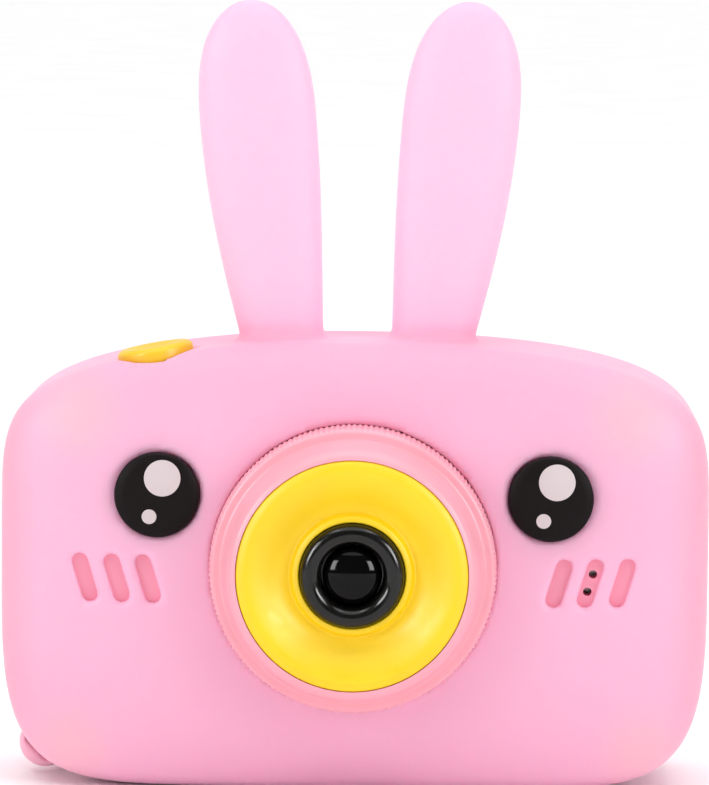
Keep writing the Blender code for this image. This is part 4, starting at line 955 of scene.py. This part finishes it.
def hollow(name, rings, inner, material, posts, cutters, bevel, nodes):
    """A case between two skins of rings, with posts, holes and small bevels on its edges."""
    shell = make_piece(name, *skin(rings), material, nodes)
    booleans(shell, [tool(*skin(inner))])
    booleans(shell, posts, "UNION")
    booleans(shell, cutters)
    width, limit = bevel * MM, math.radians(50)
    modify(shell, "soften", "BEVEL", width=width, segments=2, limit_method="ANGLE", angle_limit=limit)
    apply_modifiers(shell)
    shade(shell.data, 40)
    modify(shell, "even_shading", "WEIGHTED_NORMAL", keep_sharp=True)
    apply_modifiers(shell)


def cylinder(x, z, radius, low, high, sides=40):
    return prism(disc_outline(radius, sides), low, high, (x, 0, z))


def side_hole(width, height, radius, z):
    """A cutter through the right-hand wall."""
    outline = rounded_rectangle(width, height, radius)
    return tool(*skin([[(x, PORT_Y + y, z + up) for y, up in outline] for x in (40, 50)]))


def shutter_stem_hole():
    """A cutter along the shutter button's axis."""
    points, faces = lathe([(0, -9), (2.6, -9), (2.6, 6), (0, 6)], 48)
    return tool(turn_y([(x, z, y) for x, y, z in points], SHUTTER_TILT), faces, SHUTTER)


def eyelet_hole():
    """A cutter for the lanyard loop's foot, on the corner's diagonal."""
    half, c = 3.3 + GAP, math.sqrt(0.5)
    outline = [(-half, -half), (half, -half), (half, half), (-half, half)]
    outline = [(u * 1.9 - 1.5, v) for u, v in outline]
    sides = (-1.6 - GAP, 1.6 + GAP)
    rings = [[((u - v) * c, y, (u + v) * c) for u, v in outline] for y in sides]
    return tool(*skin(rings), EYELET)


def make_front_shell():
    """The front case: screw posts, raised pads under the cheek slots, and holes."""
    outer, inner = pillow_rings(SHELL_INSET, -1), cavity(-1, 8)
    posts = [cylinder(x, z, 2.2, -10.2, -0.15) for x, z in SCREWS]
    posts += [cylinder(x, z, 1.9, -12.2, 4.1) for x, z in BOARD_SCREWS]
    pad = rounded_rectangle(SLOT_WIDTH + 0.1, SLOT_LENGTH + 0.1, SLOT_WIDTH / 2 + 0.049, 8)
    for side in (-1, 1):
        c, s = math.cos(side * SLOT_TILT), math.sin(side * SLOT_TILT)
        leaning = [(x * c + z * s, z * c - x * s) for x, z in pad]
        for x, top in zip(SLOT_PLACES_X, SLOT_PAD_TOPS):
            posts.append(prism(leaning, top, -11.6, (side * x, 0, SLOT_Z)))
    cutters = [cylinder(0, LENS_Z, 5.2, -20, -8), shutter_stem_hole(), eyelet_hole()]
    cutters += [cylinder(x, z, 1.25, -7.5, 4) for x, z in SCREWS]
    cutters += [cylinder(x, z, 1.1, -3, 6) for x, z in BOARD_SCREWS]
    for level in (-1.15, 1.15):
        x = SLOT_PLACES_X[1] + math.tan(SLOT_TILT) * level
        cutters.append(cylinder(x, SLOT_Z + level, 0.56, -20, -8, 32))
    for side in (-1, 1):
        cutters.append(cylinder(side * EYE_X, EYE_Z, EYE_HOLE, -30, -12.9))
    hollow("front_case", outer, inner, PINK_CASE, posts, cutters, 0.1, "front_shell")


def make_rear_shell():
    """The rear case: a flat panel with the screen's pocket and every hole in it."""
    outer = pillow_rings(SHELL_INSET, 1, limit=REAR_PANEL_Y)
    inner = cavity(1, 10, REAR_PANEL_Y - SHELL_WALL)
    posts = [cylinder(x, z, 2.7, 0.15, 12.4, 48) for x, z in SCREWS]
    window = rounded_rectangle(*(side + 2 * GAP for side in WINDOW_SIZE), WINDOW_CORNER + GAP)
    cutters = [
        prism(window, REAR_PANEL_Y - 1.2, 20, SCREEN),
        prism(rounded_rectangle(41.5, 31.5, 1), 10, 20, SCREEN),
        cylinder(PAD_X, PAD_Z, OK_RADIUS + GAP, 10, 20, 72),
        cylinder(PAD_X, SELFIE_Z, 2.6, 10, 20),
        cylinder(PAD_X, SELFIE_Z, 3.9, 12.3, 20, 72),
        eyelet_hole(),
        side_hole(3.7, 8.6, 1.2, USB_Z),
        side_hole(1.9, 12.2, 0.7, CARD_Z),
        side_hole(2.6, 1.6, 0.4, USB_Z + 6.3),
    ]
    for direction in PAD_DIRECTIONS.values():
        cutters.append(prism(pad_outline(direction, GAP), 10, 20, (PAD_X, 0, PAD_Z)))
    for x in SMALL_X.values():
        cutters.append(cylinder(x, SMALL_Z, SMALL_RADIUS + GAP, 10, 20, 64))
    for k in range(5):
        pill = rounded_rectangle(1.1, 4.4, 0.549, 6)
        cutters.append(prism(pill, 10, 20, (PAD_X + (k - 2) * 2.4, 0, SPEAKER_Z)))
    for x, z in SCREWS:
        cutters += [cylinder(x, z, 2.1, 8.2, 20, 48), cylinder(x, z, 1.25, -6, 9)]
    hollow("rear_case", outer, inner, PINK_HARD, posts, cutters, 0.14, "rear_shell")


def make_screws():
    """The case screws with a cross recess."""
    profile = [(0, -6.8, 0), (0.4, -6.8, 0), (0.95, -5.6, 0), (0.95, 8.5, 0), (1.75, 8.5, 0)]
    profile += [(1.75, 9.3, 0.3), (1.2, 9.8, 0.3), (0, 9.85, 0)]
    points, faces = lathe(filleted(profile, 0.1, 4), 48)
    signs = ((-1, -1), (1, -1), (1, 1), (-1, 1))
    for k, (x, z) in enumerate(SCREWS, 1):
        node = f"case_screw_{k}"
        thing = make_piece(f"{node}_steel", points, faces, STEEL, node, place=(x, 0, z), sharp=35)
        arms = []
        for wide, tall in ((1.1, 0.24), (0.24, 1.1)):
            levels = ((9.0, 0.6), (10.2, 1))
            rings = [[(u * wide * size, y, v * tall * size) for u, v in signs] for y, size in levels]
            arms.append(tool(*skin(rings), (x, 0, z)))
        booleans(thing, arms)
        shade(thing.data, 35)


def make_window():
    """The window over the display, and the selfie camera's window with its small lens."""
    outline = rounded_rectangle(*WINDOW_SIZE, WINDOW_CORNER, 10)
    rings = cushion(outline, 12.6, 13.45, 0.22)
    make_piece("screen_glass", *skin(rings), SCREEN_GLASS, "screen_window", place=SCREEN)
    profile = [(0, 12.6, 0), (3.6, 12.6, 0), (3.6, 13.4, 0.2), (3.2, 13.7, 0.2), (2.7, 13.7, 0.2)]
    profile += [(1.6, 13.1, 0.1), (1.3, 13.2, 0.1), (0.7, 13.55, 0.4), (0, 13.6, 0)]
    profile = filleted(profile, 0.2, 5)
    place = (PAD_X, 0, SELFIE_Z)
    turned_piece("selfie_glass", profile, 96, DOME_GLASS, "selfie_window", place, 40)


# Side and corner.


def make_cover():
    """The USB port's soft cover: a pad, a plug inside, a lip to pull and the fixed end.

    Each has a size and corner radius, a height from the hinge, and stations of (x, inset)."""
    pad = ((-1.6, 0.25), (-1.45, 0.05), (-1.2, 0), (-0.1, 0), (0.15, 0.1), (0.33, 0.3), (0.4, 0.6))
    plug = ((-3.0, 0.3), (-2.8, 0.08), (-2.6, 0), (-1.5, 0))
    lip = ((0.2, 0), (0.75, 0), (0.92, 0.1), (1.0, 0.3))
    anchor = ((-1.6, 0.2), (-1.4, 0), (0.1, 0), (0.32, 0.1), (0.4, 0.3))
    pieces = (
        ("cover_pad", (7.2, 11.4, 1.6), -5.9, pad, "port_cover", "port_cover"),
        ("cover_plug", (2.0, 6.8, 0.9), -4.9, plug, (), "port_cover"),
        ("cover_lip", (3.6, 1.2, 0.55), -10.4, lip, (), "port_cover"),
        ("cover_anchor", (5.2, 1.7, 0.5), 1.45, anchor, "port_cover_anchor", ROOT),
    )
    for name, size, height, stations, nodes, body in pieces:
        outline = [(y, z + height) for y, z in rounded_rectangle(*size)]
        rings = drawn_in(outline, stations, along_x=True)
        make_piece(name, *skin(rings), PINK_HARD, nodes, body, HINGE)


def make_card():
    """The memory card and its eight contacts."""
    place = (0, 0, CARD_Z)
    outline = [(28.7, -5.5), (43.7, -5.5), (43.7, 5.5), (36.6, 5.5), (35.9, 4.8), (28.7, 4.8)]
    outline = filleted(outline, 0.4, 4, closed=True)
    rings = cushion(outline, 2.4, 3.4, 0.12, steps=2)
    make_piece("card_body", *skin(rings), CHIP, "memory_card", "memory_card", place)
    for k in range(8):
        pad = [(x + 30.7, z - 4.4 + k * 1.1) for x, z in rounded_rectangle(2.6, 0.8, 0.15, 3)]
        rings = [[(x, y, z) for x, z in pad] for y in (2.36, 2.5)]
        make_piece(f"card_contact_{k}", *skin(rings), GOLD, (), "memory_card", place)


def eyelet_distance(x, y, z):
    """The lanyard loop: a disc with a slit, on a foot that the shells clamp."""
    out, across = -(x + z) / math.sqrt(2), (x - z) / math.sqrt(2)
    disc = np.sqrt((out - 0.2) ** 2 + (across - 0.45) ** 2) - 3.4
    taper = 2.0 + 0.28 * (out + 4.4)
    foot = np.maximum(np.abs(across) - taper, np.abs(out + 2.4) - 2.6)
    end = box_distance(out + 4.75, across, 0.35, 2.9, 0.2)
    flat = np.minimum(smooth_min(disc, foot, 0.8), end)
    slit = pill_distance(out - 1.25, across - 0.45, 4.4, 1.1)
    return smooth_max(smooth_max(flat, np.abs(y) - 1.5, 1.3), -slit, 0.5)


def make_eyelet():
    low, high = (-4.5, -2, -4.5), (5.5, 2, 5.5)
    soft_piece("lanyard_loop", eyelet_distance, low, high, 0.16, PINK_LOOP, "lanyard_eyelet", EYELET)


# Light, floor and camera.

# Places and sizes here are in metres. A place of a pair of lights is the right-hand one.
LIT_POINT = (0, 0, 0.03)
SOFTBOX = {"place": (0.68, -0.55, 0.33), "size": (0.34, 0.42), "power": 2.0}
GLINT = {"place": (0.64, -0.51, 0.31), "size": (0.25, 0.34), "power": 3.6}
TOP_LIGHT = {"place": (0.26, -0.24, 0.68), "size": (0.12, 0.12), "power": 0.26}
SKY_POWER = 1.8
SKY_SPREAD = math.radians(70)
SKY_PLACE = (0, -0.12, 1.0)
AIR_FROM_Y = (-0.1, 0.75)
AIR_STRENGTH = (0.19, 1.02)
FLOOR_HALF_WIDTH = 12
FLOOR_DEPTH = (-8, 16)
VIEW_AZIMUTH = math.radians(0.97)
VIEW_ELEVATION = math.radians(6.0)
VIEW_ROLL = math.radians(0.55)
VIEW_DISTANCE = 0.6
VIEW_TARGET = (-0.00031, 0, 0.0517)
FOCAL_LENGTH = 229.0


def area_light(name, side, place, size, power):
    """A softbox on one side, aimed at the camera body."""
    light = bpy.data.lights.new(name, "AREA")
    light.shape = "RECTANGLE"
    light.size, light.size_y = size
    light.energy = power
    return aim(name, light, (side * place[0], *place[1:]), LIT_POINT)


def aim(name, light, place, target):
    lamp = in_scene(name, light)
    lamp.location = place
    lamp.rotation_euler = (Vector(target) - Vector(place)).to_track_quat("-Z", "Y").to_euler()
    return lamp


def make_floor():
    paper = Surface("studio_floor_paper", 0.9)
    paper.colour(paper.mix(paper.span(paper.noise(14, 3), 0.3, 0.7), (252, 252, 252), (255, 255, 255)))
    paper.bump(paper.noise(900, 3), 0.00002)
    mesh = bpy.data.meshes.new("studio_floor")
    half, (near, far) = FLOOR_HALF_WIDTH, FLOOR_DEPTH
    corners = [(-half, near, 0), (half, near, 0), (half, far, 0), (-half, far, 0)]
    mesh.from_pydata(corners, [], [(0, 1, 2, 3)])
    mesh.materials.append(paper.material)
    in_scene("studio_floor", mesh)


def make_air():
    """White light from all round, strong from behind the camera body and weak from its front."""
    world = bpy.data.worlds.new("studio_air")
    world.use_nodes = True
    bpy.context.scene.world = world
    air = NodeTree(world.node_tree)
    direction = air.nodes.new("ShaderNodeTexCoord").outputs["Generated"]
    backwards = air.node("ShaderNodeSeparateXYZ", {0: direction}).outputs["Y"]
    strength = air.span(backwards, *AIR_FROM_Y, *AIR_STRENGTH, smooth=True)
    background = air.nodes["Background"].inputs
    air.links.new(strength, background["Strength"])
    background["Color"].default_value = (1, 1, 1, 1)


def make_lights():
    """A wide sky overhead, two softboxes with a bright heart that only gloss shows, two top lights."""
    overhead = bpy.data.lights.new("overhead_sky", "SUN")
    overhead.energy = SKY_POWER
    overhead.angle = SKY_SPREAD
    aim("overhead_sky", overhead, SKY_PLACE, (0, 0, 0))
    for side, name in ((-1, "left"), (1, "right")):
        area_light(f"{name}_softbox", side, **SOFTBOX)
        area_light(f"{name}_glint", side, **GLINT).visible_diffuse = False
    for side in (-1, 1):
        area_light(f"small_light_{side + 1}", side, **TOP_LIGHT)


def make_camera():
    """The camera with its azimuth, elevation and roll about the point that it looks at."""
    c, s = math.cos(VIEW_ELEVATION), math.sin(VIEW_ELEVATION)
    away = Vector((math.sin(VIEW_AZIMUTH) * c, -math.cos(VIEW_AZIMUTH) * c, s))
    right = (-away).cross(Vector((0, 0, 1))).normalized()
    up = right.cross(-away)
    c, s = math.cos(VIEW_ROLL), math.sin(VIEW_ROLL)
    axes = Matrix((right * c + up * s, up * c - right * s, away)).transposed()
    lens = bpy.data.cameras.new("studio_camera")
    lens.sensor_fit = "HORIZONTAL"
    lens.sensor_width = 36
    lens.lens = FOCAL_LENGTH
    lens.clip_start = 0.05
    lens.clip_end = 20
    view = in_scene("studio_camera", lens)
    stand = Vector(VIEW_TARGET) + away * VIEW_DISTANCE
    view.matrix_world = Matrix.Translation(stand) @ axes.to_4x4()
    bpy.context.scene.camera = view


def main():
    bpy.context.scene.view_settings.view_transform = "Standard"
    for material, names in KEPT_NODES.items():
        for name in names:
            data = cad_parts[name].data
            data.materials.clear()
            data.materials.append(material)
    make_sleeve()
    make_ring()
    make_funnel()
    make_barrel()
    make_eye("left_eye", -1)
    make_eye("right_eye", 1)
    make_shutter()
    make_rear_buttons()
    make_front_shell()
    make_rear_shell()
    make_screws()
    make_window()
    make_cover()
    make_card()
    make_eyelet()
    make_floor()
    make_air()
    make_lights()
    make_camera()


main()
